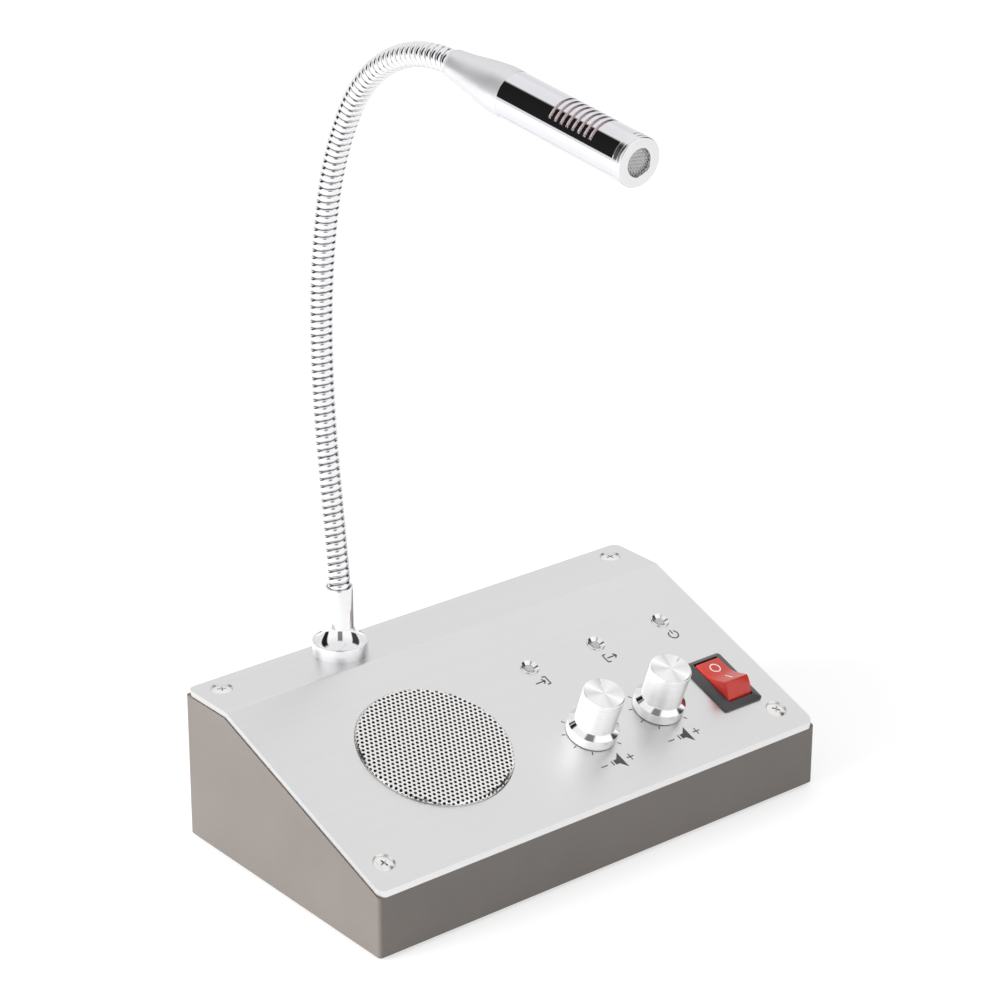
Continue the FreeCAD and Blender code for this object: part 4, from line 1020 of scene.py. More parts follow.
@dataclass
class Studio:
    """Camera, floor, lamp and the white room with its dark cards."""

    azimuth: float = -39.19
    elevation: float = 23.28
    roll: float = 0.18
    distance: float = 0.9365
    target: tuple[float, float, float] = (-0.0028, 0.0, 0.1024)
    lens: float = 116.7
    sensor: float = 36.0
    floor_size: float = 40.0
    floor_depth: float = 20.0
    floor_gap: float = 0.02
    lamp_place: tuple[float, float, float] = (-1.3, 0.3, 0.3)
    lamp_aim: tuple[float, float, float] = (0.0, 0.0, 0.04)
    lamp_size: float = 1.0
    lamp_watts: float = 44.0
    horizon: float = 1.24
    zenith: float = 1.0
    flags: tuple[Flag, ...] = (
        Flag(127.5, 17.0, 0.84, 0.06),
        Flag(-126.0, 17.0, 0.74, 0.06, 0.78),
        Flag(-21.0, 20.0, 0.76, 0.05, 0.95, 5.0, 0.08),
        Flag(54.0, 52.0, 0.6, 0.14, 0.22, 10.0),
    )

    def build(self) -> None:
        """Set everything up."""
        self.view()
        self.floor()
        self.lamp()
        self.walls()

    def view(self) -> None:
        """The camera, placed from its two angles."""
        turn, rise = math.radians(self.azimuth), math.radians(self.elevation)
        level = math.cos(rise)
        back = Vector((math.sin(turn) * level, -math.cos(turn) * level, math.sin(rise)))
        lens = bpy.data.cameras.new("view")
        lens.lens, lens.sensor_width = self.lens, self.sensor
        lens.clip_start, lens.clip_end = 0.01, 50.0
        camera = bpy.data.objects.new("view", lens)
        bpy.context.scene.collection.objects.link(camera)
        tilt = Quaternion((0.0, 0.0, 1.0), math.radians(self.roll))
        camera.rotation_euler = (back.to_track_quat("Z", "Y") @ tilt).to_euler()
        camera.location = Vector(self.target) + back * self.distance
        bpy.context.scene.camera = camera
        bpy.context.scene.view_settings.view_transform = "Standard"

    def floor(self) -> None:
        """A wide pale floor just under the case."""
        half = self.floor_size / 2 / MM
        low, high = (-half, -half, -self.floor_depth), (half, half, -self.floor_gap)
        item = Shape().box(low, high).made("floor", ORIGIN.matrix())
        paint = bpy.data.materials.new("floor_white")
        paint.use_nodes = True
        shader = Shader(paint.node_tree)
        cloud = shader.noise(shader.where(), 0.004)
        tone = shader.mix(cloud, (0.42, 0.42, 0.42), (0.45, 0.45, 0.45))
        shader.close(tone, 0.75, Emission_Color=(1.0, 1.0, 1.0), Emission_Strength=0.6)
        item.data.materials.append(paint)

    def lamp(self) -> None:
        """A soft lamp at the left, which the bright metal doesn't mirror."""
        data = bpy.data.lights.new("left_lamp", "AREA")
        data.energy, data.size = self.lamp_watts, self.lamp_size
        item = bpy.data.objects.new("left_lamp", data)
        bpy.context.scene.collection.objects.link(item)
        item.location = self.lamp_place
        item.visible_camera = item.visible_glossy = False
        aim = Vector(self.lamp_place) - Vector(self.lamp_aim)
        item.rotation_euler = aim.to_track_quat("Z", "Y").to_euler()

    def walls(self) -> None:
        """White surroundings, with the dark cards that the bright metal mirrors."""
        world = bpy.data.worlds.new("room")
        bpy.context.scene.world = world
        world.use_nodes = True
        shader = Shader(world.node_tree)
        across, along, height = shader.node("ShaderNodeTexCoord").parts()
        angle = along.math("ARCTAN2", across)
        light: Number = height.smooth(0.3, 0.95, self.horizon, self.zenith)
        for flag in self.flags:
            half, soft = math.radians(flag.half), math.radians(flag.soft)
            inside = angle.turn_from(flag.azimuth).smooth(half - soft, half + soft, 1.0, 0.0)
            under = height.smooth(flag.top - flag.fade, flag.top + flag.fade, 1.0, 0.0)
            over = height.smooth(flag.low - flag.fade, flag.low + flag.fade)
            light = light * (1.0 - inside * under * over * flag.depth)
        inputs = {"Color": (1.0, 1.0, 1.0), "Strength": light}
        glow = shader.node("ShaderNodeBackground", {}, inputs)
        shader.node("ShaderNodeOutputWorld", {}, {"Surface": glow})


# Case


@dataclass
class Casing:
    """The tub, its pad, the panel with its marks, and the four screws."""

    screw_across: float = 74.8
    screw_up: float = 9.1
    screw_along: float = 39.7
    head: float = 2.9
    head_low: float = 0.45
    core: float = 1.45
    thread: float = 0.8
    root: float = 0.78
    length: float = 9.0
    cross: float = 3.5
    cross_width: float = 0.74
    cross_depth: float = 1.1
    cross_share: float = 0.45
    land: float = 0.12
    tip: float = 0.8
    print_low: float = -0.01
    print_height: float = 0.03
    tick_inner: float = 8.25
    tick_outer: float = 9.5
    first_tick: float = 234.0
    tick_turn: float = 36.0
    tick_width: float = 0.34
    ticks: int = 9
    volume_up: float = 12.26
    way_up: float = 49.1
    power_up: float = 49.0
    thin: float = 0.36
    magnet: float = 0.42
    stroke: float = 0.44
    horn: tuple[Point, ...] = (
        (-1.3, -0.87), (0.05, -0.87), (1.85, -3.1), (1.85, 3.05), (0.05, 0.95), (-1.3, 0.87),
    )

    def build(self) -> None:
        """Make the case's pieces."""
        keep(Look.CASE, "case_tub")
        keep(Look.PAD, "base_pad")
        keep(Look.PANEL, "top_panel")
        self.screws()
        self.marks()

    def screw(self) -> Shape:
        """One screw: a raised head with a tapering cross in it, and a ribbed shank.

        Returns:
            The screw, upright, with the top of its head at the origin.
        """
        rise, core = self.head_low, self.core
        ball = (self.head * self.head + rise * rise) / (2 * rise)
        section: list[Point] = [(0.0, 0.0)]
        for step in range(1, 7):
            reach = self.head * step / 6
            section.append((reach, math.sqrt(ball * ball - reach * reach) - ball))
        neck = -rise - (self.head - core)
        section += [(self.head - 0.06, -rise - self.land), (core, neck)]
        for rib in range(int((self.length - 2.0) / self.thread)):
            low = neck - self.thread * rib
            section += [(core * self.root, low - 0.3), (core, low - 0.7)]
        section += [(core * 0.7, neck - self.length + self.tip), (0.0, neck - self.length)]
        shape = Shape().turned(section, 48)

        def tapered(co: Vector) -> Vector:
            """The point, drawn in towards the axis where it lies deep."""
            share = self.cross_share if co.z < 0.0 else 1.0
            return Vector((co.x * share, co.y * share, co.z))

        low, high = -self.cross_depth, 0.6
        for wide, narrow in ((self.cross, self.cross_width), (self.cross_width, self.cross)):
            arm = Shape().box((-wide / 2, -narrow / 2, low), (wide / 2, narrow / 2, high))
            shape.cut(arm.reshape(tapered))
        return shape

    def screws(self) -> None:
        """The four screws, each stopped at its own angle."""
        matrices = [
            DESK.on_slope(-self.screw_across, self.screw_up).matrix(18.0),
            DESK.on_slope(self.screw_across, self.screw_up).matrix(41.0),
            DESK.on_flat(-self.screw_across, self.screw_along).matrix(63.0),
            DESK.on_flat(self.screw_across, self.screw_along).matrix(5.0),
        ]
        item = self.screw().copies(matrices).made("screws")
        settle(item, Look.SCREW, "screw_steel", BASE, ["panel_screws"])

    def bar(self, middle: Point, start: Point, end: Point, width: float) -> Shape:
        """A printed stroke between two points, counted from the sign's middle.

        Args:
            middle: Place of the sign.
            start: One end, from there.
            end: The other end.
            width: Width of the stroke.

        Returns:
            The stroke.
        """
        first, last = Vector(middle) + Vector(start), Vector(middle) + Vector(end)
        run = last - first
        side = Vector((-run.y, run.x)).normalized() * width / 2
        corners = [first - side, last - side, last + side, first + side]
        outline = [tuple(corner) for corner in corners]
        return Shape().prism(outline, self.print_low, self.print_height)

    def bow(self, middle: Point, reach: float, width: float, start: float, end: float) -> Shape:
        """A printed arc, from one angle to another in degrees.

        Args:
            middle: Centre of the arc.
            reach: Its radius.
            width: Width of the stroke.
            start: First angle.
            end: Last angle.

        Returns:
            The stroke.
        """
        shape, low, high = Shape(), self.print_low, self.print_height
        inner, outer = reach - width / 2, reach + width / 2
        section = ((inner, low), (outer, low), (outer, high), (inner, high))
        corners = [shape.mesh.verts.new((radius, 0.0, level)) for radius, level in section]
        face = shape.mesh.faces.new(corners)
        shape.move(Matrix.Rotation(math.radians(start), 4, "Z"))
        shape.spin([*corners, *face.edges[:], face], math.radians(end - start), 48)
        return shape.clean().shift(*middle, 0.0)

    def ring_of_ticks(self, across: float) -> list[Shape]:
        """The scale around a knob.

        Args:
            across: Place of the knob.

        Returns:
            The ticks.
        """
        strokes = []
        for number in range(self.ticks):
            angle = math.radians(self.first_tick - self.tick_turn * number)
            ray = Vector((math.cos(angle), math.sin(angle)))
            start, end = ray * self.tick_inner, ray * self.tick_outer
            middle = (across, CONTROL_UP)
            strokes.append(self.bar(middle, tuple(start), tuple(end), self.tick_width))
        return strokes

    def volume_signs(self, across: float) -> list[Shape]:
        """Minus, a small loudspeaker and plus, under a knob.

        Args:
            across: Place of the knob.

        Returns:
            The strokes.
        """
        middle, thin = (across, self.volume_up), self.thin
        outline = [(across + right, self.volume_up + up) for right, up in self.horn]
        return [
            self.bar(middle, (-6.4, 0.0), (-4.0, 0.0), thin),
            self.bar(middle, (-2.05, -0.9), (-2.05, 0.9), self.magnet),
            Shape().prism(outline, self.print_low, self.print_height),
            self.bar(middle, (3.4, 0.0), (6.0, 0.0), thin),
            self.bar(middle, (4.7, -1.3), (4.7, -0.2), thin),
            self.bar(middle, (4.7, 0.2), (4.7, 1.3), thin),
        ]

    def way_sign(self, across: float, tip: float, back: float, front: float) -> list[Shape]:
        """An arrow at an open frame.

        Args:
            across: Place of the sign.
            tip: The arrow's tip, from there.
            back: The frame's closed side.
            front: Its open side.

        Returns:
            Its strokes.
        """
        strokes = (
            ((tip - 3.6, 0.0), (tip - 0.15, 0.0)),
            ((tip - 1.0, 0.95), (tip, 0.0)),
            ((tip - 1.0, -0.95), (tip, 0.0)),
            ((back, -1.6), (back, 1.6)),
            ((back, 1.6), (front, 1.6)),
            ((back, -1.6), (front, -1.6)),
        )
        middle = (across, self.way_up)
        return [self.bar(middle, start, end, self.stroke) for start, end in strokes]

    def power_sign(self, across: float) -> list[Shape]:
        """A broken ring with a stroke.

        Args:
            across: Place of the sign.

        Returns:
            Its strokes.
        """
        middle = (across, self.power_up)
        return [
            self.bow(middle, 1.6, self.stroke, -235.0, 55.0),
            self.bar(middle, (0.0, 0.35), (0.0, 2.0), self.stroke),
        ]

    def marks(self) -> None:
        """Everything printed on the panel, as one thin piece."""
        inside, outside, power = COLUMNS
        strokes: list[Shape] = []
        for across in (inside, outside):
            strokes += self.ring_of_ticks(across) + self.volume_signs(across)
        strokes += self.way_sign(inside, 0.9, 1.9, 0.7) + self.way_sign(outside, 2.9, -1.5, -0.3)
        strokes += self.power_sign(power)
        item = Shape().take(*strokes).made("panel_marks", DESK.on_slope(0.0, 0.0).matrix())
        settle(item, Look.INK, "black_plastic")


# Loudspeaker


@dataclass
class Loudspeaker:
    """The drilled cap that stands out of the panel, and the unit behind it."""

    across: float = -34.0
    up: float = 40.2
    edge: float = 23.7
    rise: float = 1.3
    sheet: float = 0.55
    flange: float = 26.0
    panel: float = 1.9
    pitch: float = 1.58
    hole: float = 0.5
    bend: float = 1.3
    drilled: float = 86.0
    lap: float = 12.0
    proud: float = 0.02
    back_depth: float = 0.4
    sides: int = 12

    def build(self) -> None:
        """Make the grille and dress what lies behind it."""
        self.grille()
        keep(Look.FOAM, "speaker_gasket")
        keep(Look.ZINC, "speaker_basket", "speaker_top_plate", "speaker_yoke")
        keep(Look.CONE, "speaker_cone")
        keep(Look.CAP, "speaker_dust_cap")
        keep(Look.FERRITE, "speaker_magnet")
        keep(Look.ZINC, "speaker_clips", "speaker_nuts")

    @property
    def flat(self) -> float:
        """Radius of the level part of the cap."""
        return self.edge - self.bend

    def cell(self) -> Shape:
        """One six-sided cell of the sheet with its round hole.

        Returns:
            The cell, open at its sides.
        """
        shape = Shape()
        mesh, sides = shape.mesh, self.sides
        reach = self.pitch / math.sqrt(3)
        outer = bmesh.ops.create_circle(mesh, cap_ends=False, segments=sides, radius=reach)
        for corner in outer["verts"]:
            angle = math.degrees(math.atan2(corner.co.y, corner.co.x)) % 60.0
            if abs(angle - 30.0) > 1.0:
                corner.co *= math.sqrt(3) / 2
        bmesh.ops.create_circle(mesh, cap_ends=False, segments=sides, radius=self.hole)
        shape.lift(bmesh.ops.bridge_loops(mesh, edges=mesh.edges[:])["faces"], -self.sheet)

        def is_side(face: Face) -> bool:
            """Whether a face would lie between this cell and the next."""
            away = face.calc_center_median().xy.length
            return abs(face.normal.z) < 0.5 and away > self.pitch * 0.42

        sides = [face for face in mesh.faces if is_side(face)]
        bmesh.ops.delete(mesh, geom=sides, context="FACES_ONLY")
        return shape.clean()

    def over_the_edge(self, co: Vector) -> Vector:
        """A point of the flat sheet, on the sheet with its edge drawn down.

        Args:
            co: The point.

        Returns:
            Its place on the bent sheet.
        """
        reach = co.xy.length
        if reach <= self.flat:
            return co.copy()
        turn = min((reach - self.flat) / self.bend, QUARTER)
        below = reach - self.flat - self.bend * turn
        depth = self.bend + co.z - self.rise
        share = (self.flat + depth * math.sin(turn)) / reach
        height = self.rise - self.bend + depth * math.cos(turn) - below
        return Vector((co.x * share, co.y * share, height))

    def skirt(self) -> Shape:
        """The undrilled part of the edge, the skirt through the panel and the flange below it.

        Returns:
            A closed ring.
        """
        middle, under = (self.flat, self.rise - self.bend), -self.panel
        start = QUARTER - math.radians(self.drilled - self.lap)
        thin = self.bend - self.sheet - self.proud
        section = arc(middle, self.bend + self.proud, start, 0.0, 6)
        section += [(self.edge, under), (self.flange, under), (self.flange, under - self.sheet)]
        section += [(self.flat + thin, under - self.sheet), *arc(middle, thin, 0.0, start, 4)]
        return Shape().turned(section, 128, ring=True)

    def is_shaded_back(self, face: Face) -> bool:
        """Whether a face lies on the inner side of the cap, which gets painted shade.

        Args:
            face: The face.

        Returns:
            Whether it gets the near-black painted shade.
        """
        co = face.calc_center_median()
        across, height = co.xy.length - self.flat, co.z - self.rise + self.bend
        return math.hypot(max(across, 0.0), max(height, 0.0)) < self.bend - self.back_depth

    def grille(self) -> None:
        """The drilled sheet, bent down at its edge, and its skirt."""
        step = self.pitch * math.sqrt(3) / 2
        reach = self.flat + self.bend * math.radians(self.drilled)
        rows = int(reach / step) + 1
        matrices = []
        for row in range(-rows, rows + 1):
            for column in range(-rows - 2, rows + 3):
                across = (column + 0.5 * (row % 2)) * self.pitch
                if math.hypot(across, row * step) < reach:
                    matrices.append(Matrix.Translation((across, row * step, self.rise)))
        sheet = self.cell().copies(matrices)
        bmesh.ops.remove_doubles(sheet.mesh, verts=sheet.mesh.verts[:], dist=1e-3)
        # The inner side of the sheet and its bent edge gets the near-black painted shade.
        sheet.reshape(self.over_the_edge).take(self.skirt()).mark(self.is_shaded_back)
        item = sheet.made("grille", DESK.on_slope(self.across, self.up).matrix())
        finish = (Look.GRILLE, Look.GRILLE_SHADE)
        settle(item, finish, "grille_steel", BASE, ["speaker_grille"])


# Neck


@dataclass
class Neck:
    """The turned base and the ribbed hose, made as seven stretches."""

    rim_radius: float = 8.4
    rim_height: float = 3.9
    flare_height: float = 4.8
    flare_bow: float = 7.02
    column_radius: float = 4.25
    column_height: float = 21.5
    spigot_radius: float = 4.0
    spigot_length: float = 11.0
    lead_bore: float = 2.2
    socket: float = 7.0
    socket_radius: float = 3.6
    radius: float = 3.49
    pitch: float = 2.2
    root: float = 3.0
    swell: tuple[Point, ...] = (
        (0.0, 0.0), (0.07, 0.18), (0.12, 0.55), (0.22, 0.84), (0.34, 0.96), (0.5, 1.0),
    )
    into_base: float = 6.6
    into_mic: float = 4.6
    joints: int = 7
    lengths: int = 8
    bend_zone: float = 9.0
    steps: int = 32

    def build(self) -> None:
        """Make the base and the hose."""
        self.flange()
        keep(Look.ZINC, "neck_washer", "neck_nut")
        self.hose()

    def flange(self) -> None:
        """Rim, flare, column and the threaded spigot under the panel."""
        edge, rim, top, reach = self.rim_radius, self.rim_height, self.column_height, self.flare_bow
        spigot, low = self.spigot_radius, -self.spigot_length
        bore, socket, column = self.lead_bore, self.socket_radius, self.column_radius
        section: list[Point] = [
            (bore, low), (spigot - 0.4, low), (spigot, low + 0.4), (spigot, 0.0), (edge, 0.0),
            (edge, rim - 0.16), (edge - 0.05, rim - 0.04), (edge - 0.16, rim),
            (edge - 0.34, rim - 0.02), (edge - 0.42, rim - 0.14), (edge - 0.5, rim - 0.1),
        ]
        foot = Vector((edge - 0.52, rim))
        head = Vector((column, rim + self.flare_height))
        chord = head - foot
        across = Vector((chord.y, -chord.x)).normalized()
        hub = (foot + head) / 2 + across * math.sqrt(reach**2 - chord.length_squared / 4)
        first, last = (math.atan2(*(end - hub).yx) % math.tau for end in (foot, head))
        section += arc(tuple(hub), reach, first, last, 24)
        section += [
            (column, top - 0.35), (column - 0.1, top - 0.1), (column - 0.35, top),
            (socket + 0.02, top), (socket, top - 0.2), (socket, top - self.socket),
            (bore, top - self.socket),
        ]
        shape = Shape().turned(section, 128, ring=True)
        shape.mark(lambda face: min(v.co.xy.length for v in face.verts) > edge - 0.01)
        item = shape.made("neck_base", DESK.on_flat(NECK.across, NECK.along).matrix())
        settle(item, (Look.CHROME, Look.RIM), "neck_chrome", BASE, ["neck_flange"])

    def coil(self, first: int, turns: int) -> Shape:
        """Some turns of the hose, straight and upright.

        Args:
            first: Number of the first turn.
            turns: How many turns.

        Returns:
            A closed shape whose height is the distance along the neck.
        """
        half = [(share, self.root + (self.radius - self.root) * rise) for share, rise in self.swell]
        profile = half + [(1.0 - share, reach) for share, reach in half[-2::-1]]
        low = self.pitch * first - self.into_base
        shape = Shape()
        geometry = shape.line([(reach, low + self.pitch * share) for share, reach in profile])
        shape.spin(geometry, math.tau * turns, self.steps * turns, self.pitch / self.steps)
        mesh = shape.mesh
        bmesh.ops.remove_doubles(mesh, verts=mesh.verts[:], dist=1e-3)
        border = [edge for edge in mesh.edges if len(edge.link_faces) == 1]
        bmesh.ops.holes_fill(mesh, edges=border, sides=0)
        bmesh.ops.recalc_face_normals(mesh, faces=mesh.faces[:])
        # Faces deep in the groove get the second finish, dark painted shade between the turns.
        middle = (self.root + self.radius) / 2 + 0.02
        return shape.mark(lambda face: max(v.co.xy.length for v in face.verts) < middle)

    def hose(self) -> None:
        """Seven stretches of hose, each spanning one joint, left loose from the bodies."""
        step = NECK.length / self.lengths
        total = NECK.length + self.into_base + self.into_mic
        bounds = [0]
        for number in range(1, self.joints):
            bounds.append(round((step * (number + 0.5) + self.into_base) / self.pitch))
        bounds.append(int(total / self.pitch))
        nodes = [[f"neck_hose_{number}"] for number in range(1, self.joints + 1)]
        nodes[-1].append(f"neck_hose_{self.lengths}")
        for number in range(self.joints):
            shape = self.coil(bounds[number], bounds[number + 1] - bounds[number])
            shape.reshape(lambda co: NECK.seat(co.z).point(co.x, co.y, 0.0))
            item = shape.made(f"hose_{number + 1}", sharp=80.0)
            middle = step * (number + 1)
            start = NECK.seat(middle - self.bend_zone).point(0, 0, 0)
            end = NECK.seat(middle + self.bend_zone).point(0, 0, 0)
            settle(item, (Look.HOSE, Look.HOSE_GAP_SHADE), "hose_chrome", None, nodes[number])
            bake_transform(item)


# Microphone


@dataclass
class Microphone:
    """Satin tail, slotted bright barrel, end ring with woven wire, and what is inside."""

    length: float = 74.3
    radius: float = 6.8
    tail: float = 4.1
    taper: float = 19.2
    tail_ease: float = 0.045
    tail_swell: float = 1.012
    seam: float = 25.5
    overlap: float = 5.0
    wall: float = 0.8
    socket: float = 3.6
    socket_depth: float = 5.0
    lead_bore: float = 2.2
    slot_first: float = 20.7
    slot_pitch: float = 2.25
    slot_width: float = 1.0
    slot_floor: float = 2.8
    slots: int = 8
    ring: float = 2.9
    ring_edge: float = 0.5
    nick: float = 0.16
    groove: float = 1.3
    mouth: float = 3.75
    mouth_depth: float = 1.0
    wire: float = 0.2
    wire_pitch: float = 0.68
    wire_step: float = 0.18
    wave: float = 0.12
    mesh_reach: float = 4.3
    mesh_turn: float = 38.0
    body: str = "mic"
    seat: Seat = field(default_factory=lambda: NECK.seat(NECK.length))

    def build(self) -> None:
        """Make the microphone's pieces."""
        self.rear()
        self.barrel()
        self.end_ring()
        self.mesh()
        keep(Look.LINER, "mic_liner")
        keep(Look.CAPSULE, "mic_capsule")
        keep(Look.BOOT, "mic_capsule_boot")

    def rear(self) -> None:
        """The tail: a socket for the hose and a taper that swells into the tube."""
        inner, tail, hole = self.radius - self.wall, self.tail, self.socket
        section: list[Point] = [(hole, self.socket_depth), (hole, 0.15), (hole + 0.1, 0.0)]
        section += [(tail - 0.2, 0.0), (tail, 0.25)]
        for step in range(1, 17):
            share = step / 16
            ease = share - self.tail_ease * math.sin(math.tau * share)
            reach = tail + (self.radius - tail) * min(1.0, ease * self.tail_swell)
            section.append((reach, self.taper * 1.08 * share))
        section += [
            (self.radius, self.seam - 0.12), (self.radius - 0.12, self.seam), (inner, self.seam),
            (inner, self.seam + self.overlap), (inner - self.wall, self.seam + self.overlap),
            (inner - self.wall, self.taper), (self.lead_bore, 2 * self.socket_depth),
            (self.lead_bore, self.socket_depth),
        ]
        item = Shape().turned(section, 128, ring=True).made("mic_tail", self.seat.matrix())
        settle(item, Look.SATIN, "mic_satin", self.body, ["mic_rear_housing"])

    def barrel(self) -> None:
        """The bright tube with its sound slots."""
        outer, low, high = self.radius, self.seam, self.length - self.ring
        inner = outer - self.wall
        section: list[Point] = [
            (inner, low), (outer - 0.12, low), (outer, low + 0.12), (outer, high - 0.15),
            (outer - 0.15, high), (inner, high),
        ]
        tool, half = Shape(), self.slot_width / 2
        for number in range(self.slots):
            place = low + self.slot_first + self.slot_pitch * number
            knife = Shape().box((-9.0, self.slot_floor, place - half), (9.0, 9.0, place + half))
            tool.take(knife)
        shape = Shape().turned(section, 160, ring=True).cut(tool)
        item = shape.made("mic_tube", self.seat.matrix(), 25.0)
        settle(item, Look.BARREL, "mic_chrome", self.body, ["mic_barrel"])

    def end_ring(self) -> None:
        """The front ring: a groove, a rounded edge and a flat face with the mouth in it."""
        outer, front, nick, bend = self.radius, self.length, self.nick, self.ring_edge
        back, groove, floor = front - self.ring, front - self.groove, front - self.mouth_depth
        cavity = outer - 2 * self.wall - 0.06
        section: list[Point] = [
            (cavity, back - self.ring), (cavity + self.wall, back - self.ring),
            (cavity + self.wall, back), (outer - nick, back), (outer, back + nick),
            (outer, groove - nick), (outer - nick, groove), (outer, groove + nick),
        ]
        section += arc((outer - bend, front - bend), bend, 0.0, QUARTER, 6)
        section += [(self.mouth + 0.15, front), (self.mouth, front - 0.15)]
        section += [(self.mouth, floor), (cavity, floor)]
        item = Shape().turned(section, 128, ring=True).made("mic_end", self.seat.matrix())
        settle(item, Look.RING, "mic_ring_metal", self.body, ["mic_end_ring"])

    def strand(self) -> Shape:
        """One straight wire along X, in short lengths.

        Returns:
            The wire, about the origin.
        """
        shape, long = Shape(), 2 * self.mesh_reach
        bmesh.ops.create_cone(
            shape.mesh, cap_ends=True, cap_tris=False, segments=6, radius1=self.wire,
            radius2=self.wire, depth=long, matrix=Matrix.Rotation(QUARTER, 4, "Y"),
        )
        edges = [e for e in shape.mesh.edges if abs(e.verts[0].co.x - e.verts[1].co.x) > 1.0]
        cuts = int(long / self.wire_step) - 1
        bmesh.ops.subdivide_edges(shape.mesh, edges=edges, cuts=cuts, use_grid_fill=True)
        return shape

    def mesh(self) -> None:
        """Two sets of wires that pass over and under each other."""
        reach, pitch, wave = self.mesh_reach, self.wire_pitch, self.wave
        count = int(reach / pitch)
        weave = Shape()
        for turned_over in (False, True):
            for number in range(-count, count + 1):
                off = number * pitch
                share = math.sqrt(max(reach**2 - off**2, 0.2)) / reach
                phase = math.pi * (number + int(turned_over))

                def bend(co: Vector) -> Vector:
                    """The wire's wave, and its place in the row."""
                    across, side = co.x * share, off + co.y
                    height = co.z + wave * math.cos(math.pi * across / pitch + phase)
                    return Vector((side, across, height) if turned_over else (across, side, height))

                wire = self.strand().reshape(bend)
                if turned_over:
                    bmesh.ops.reverse_faces(wire.mesh, faces=wire.mesh.faces[:])
                weave.take(wire)
        turn = Matrix.Rotation(math.radians(self.mesh_turn), 4, "Z")
        height = self.length - self.mouth_depth - self.wire - wave
        weave.move(Matrix.Translation((0, 0, height)) @ turn)
        bmesh.ops.recalc_face_normals(weave.mesh, faces=weave.mesh.faces[:])
        item = weave.made("mic_weave", self.seat.matrix(), 60.0)
        settle(item, Look.WIRE, "mesh_wire", self.body, ["mic_mesh"])


# Knobs


class Channel(Enum):
    """The two volume controls."""

    INSIDE = "in"
    OUTSIDE = "out"


@dataclass
class VolumeKnob:
    """A spun knob with a flared skirt, and the control that it turns."""

    channel: Channel
    across: float
    pointer: float
    lift: float = 0.2
    height: float = 16.4
    skirt: float = 7.85
    skirt_top: float = 3.5
    waist: float = 6.25
    top: float = 6.4
    waist_height: float = 4.8
    hollow: float = 6.15
    nut_room: float = 3.2
    insert: float = 5.2
    insert_top: float = 14.0
    line_start: float = 3.7
    line_half: float = 0.28
    line_depth: float = 0.32
    colour: Colour = (0.93, 0.93, 0.935)
    # Painted reflection rays on the knob's end face: middle angle, half width, and how much each
    # lightens or darkens.
    painted_sheen_rays: tuple[tuple[float, float, float], ...] = (
        (120.0, 26.0, 0.5), (-62.0, 26.0, 0.42), (28.0, 30.0, 0.2), (-155.0, 34.0, 0.14),
        (78.0, 16.0, -0.36), (158.0, 26.0, -0.3), (-12.0, 22.0, -0.16), (-104.0, 20.0, -0.3),
    )

    def build(self) -> None:
        """Make the knob and dress what is under it."""
        word = self.channel.value
        self.knob(word)
        keep(Look.INSERT, f"knob_insert_{word}")
        keep(Look.ZINC, f"pot_shaft_{word}", f"pot_body_{word}")

    def knob(self, word: str) -> None:
        """The knob's shell with its pointer line.

        Args:
            word: The channel's word, for the names.
        """
        lift, step, skirt, waist, top = self.lift, self.skirt_top, self.skirt, self.waist, self.top
        ledge, high = self.waist_height, self.height
        section: list[Point] = [
            (0.0, self.insert_top), (self.insert, self.insert_top), (self.insert, self.nut_room),
            (self.hollow, self.nut_room), (self.hollow, lift), (skirt - 0.12, lift),
            (skirt, lift + 0.12), (skirt, step - 0.06), (skirt - 0.02, step),
            (skirt - 0.07, step + 0.05), (waist + 0.09, ledge - 0.07), (waist + 0.03, ledge + 0.01),
            (waist, ledge + 0.12), (top, high - 0.62), (top, high - 0.42),
            (top - 0.14, high - 0.16), (top - 0.4, high), (top - 0.62, high - 0.02),
            (0.0, high - 0.1),
        ]
        half, low = self.line_half, high - self.line_depth
        line = Shape().box((self.line_start, -half, low), (skirt, half, high + 1.0))
        line.move(Matrix.Rotation(math.radians(self.pointer), 4, "Z"))
        seat = DESK.on_slope(self.across, CONTROL_UP)
        shape = Shape().turned(section, 128).cut(line)
        item = shape.made(f"volume_knob_{word}_shell", seat.matrix(), 24.0)
        finish = Spun(f"knob_spun_{word}", self.colour, seat, high - 0.1, self.painted_sheen_rays)
        settle(item, finish, "knob_aluminium", f"knob_{word}", [f"volume_knob_{word}"])


# Switch


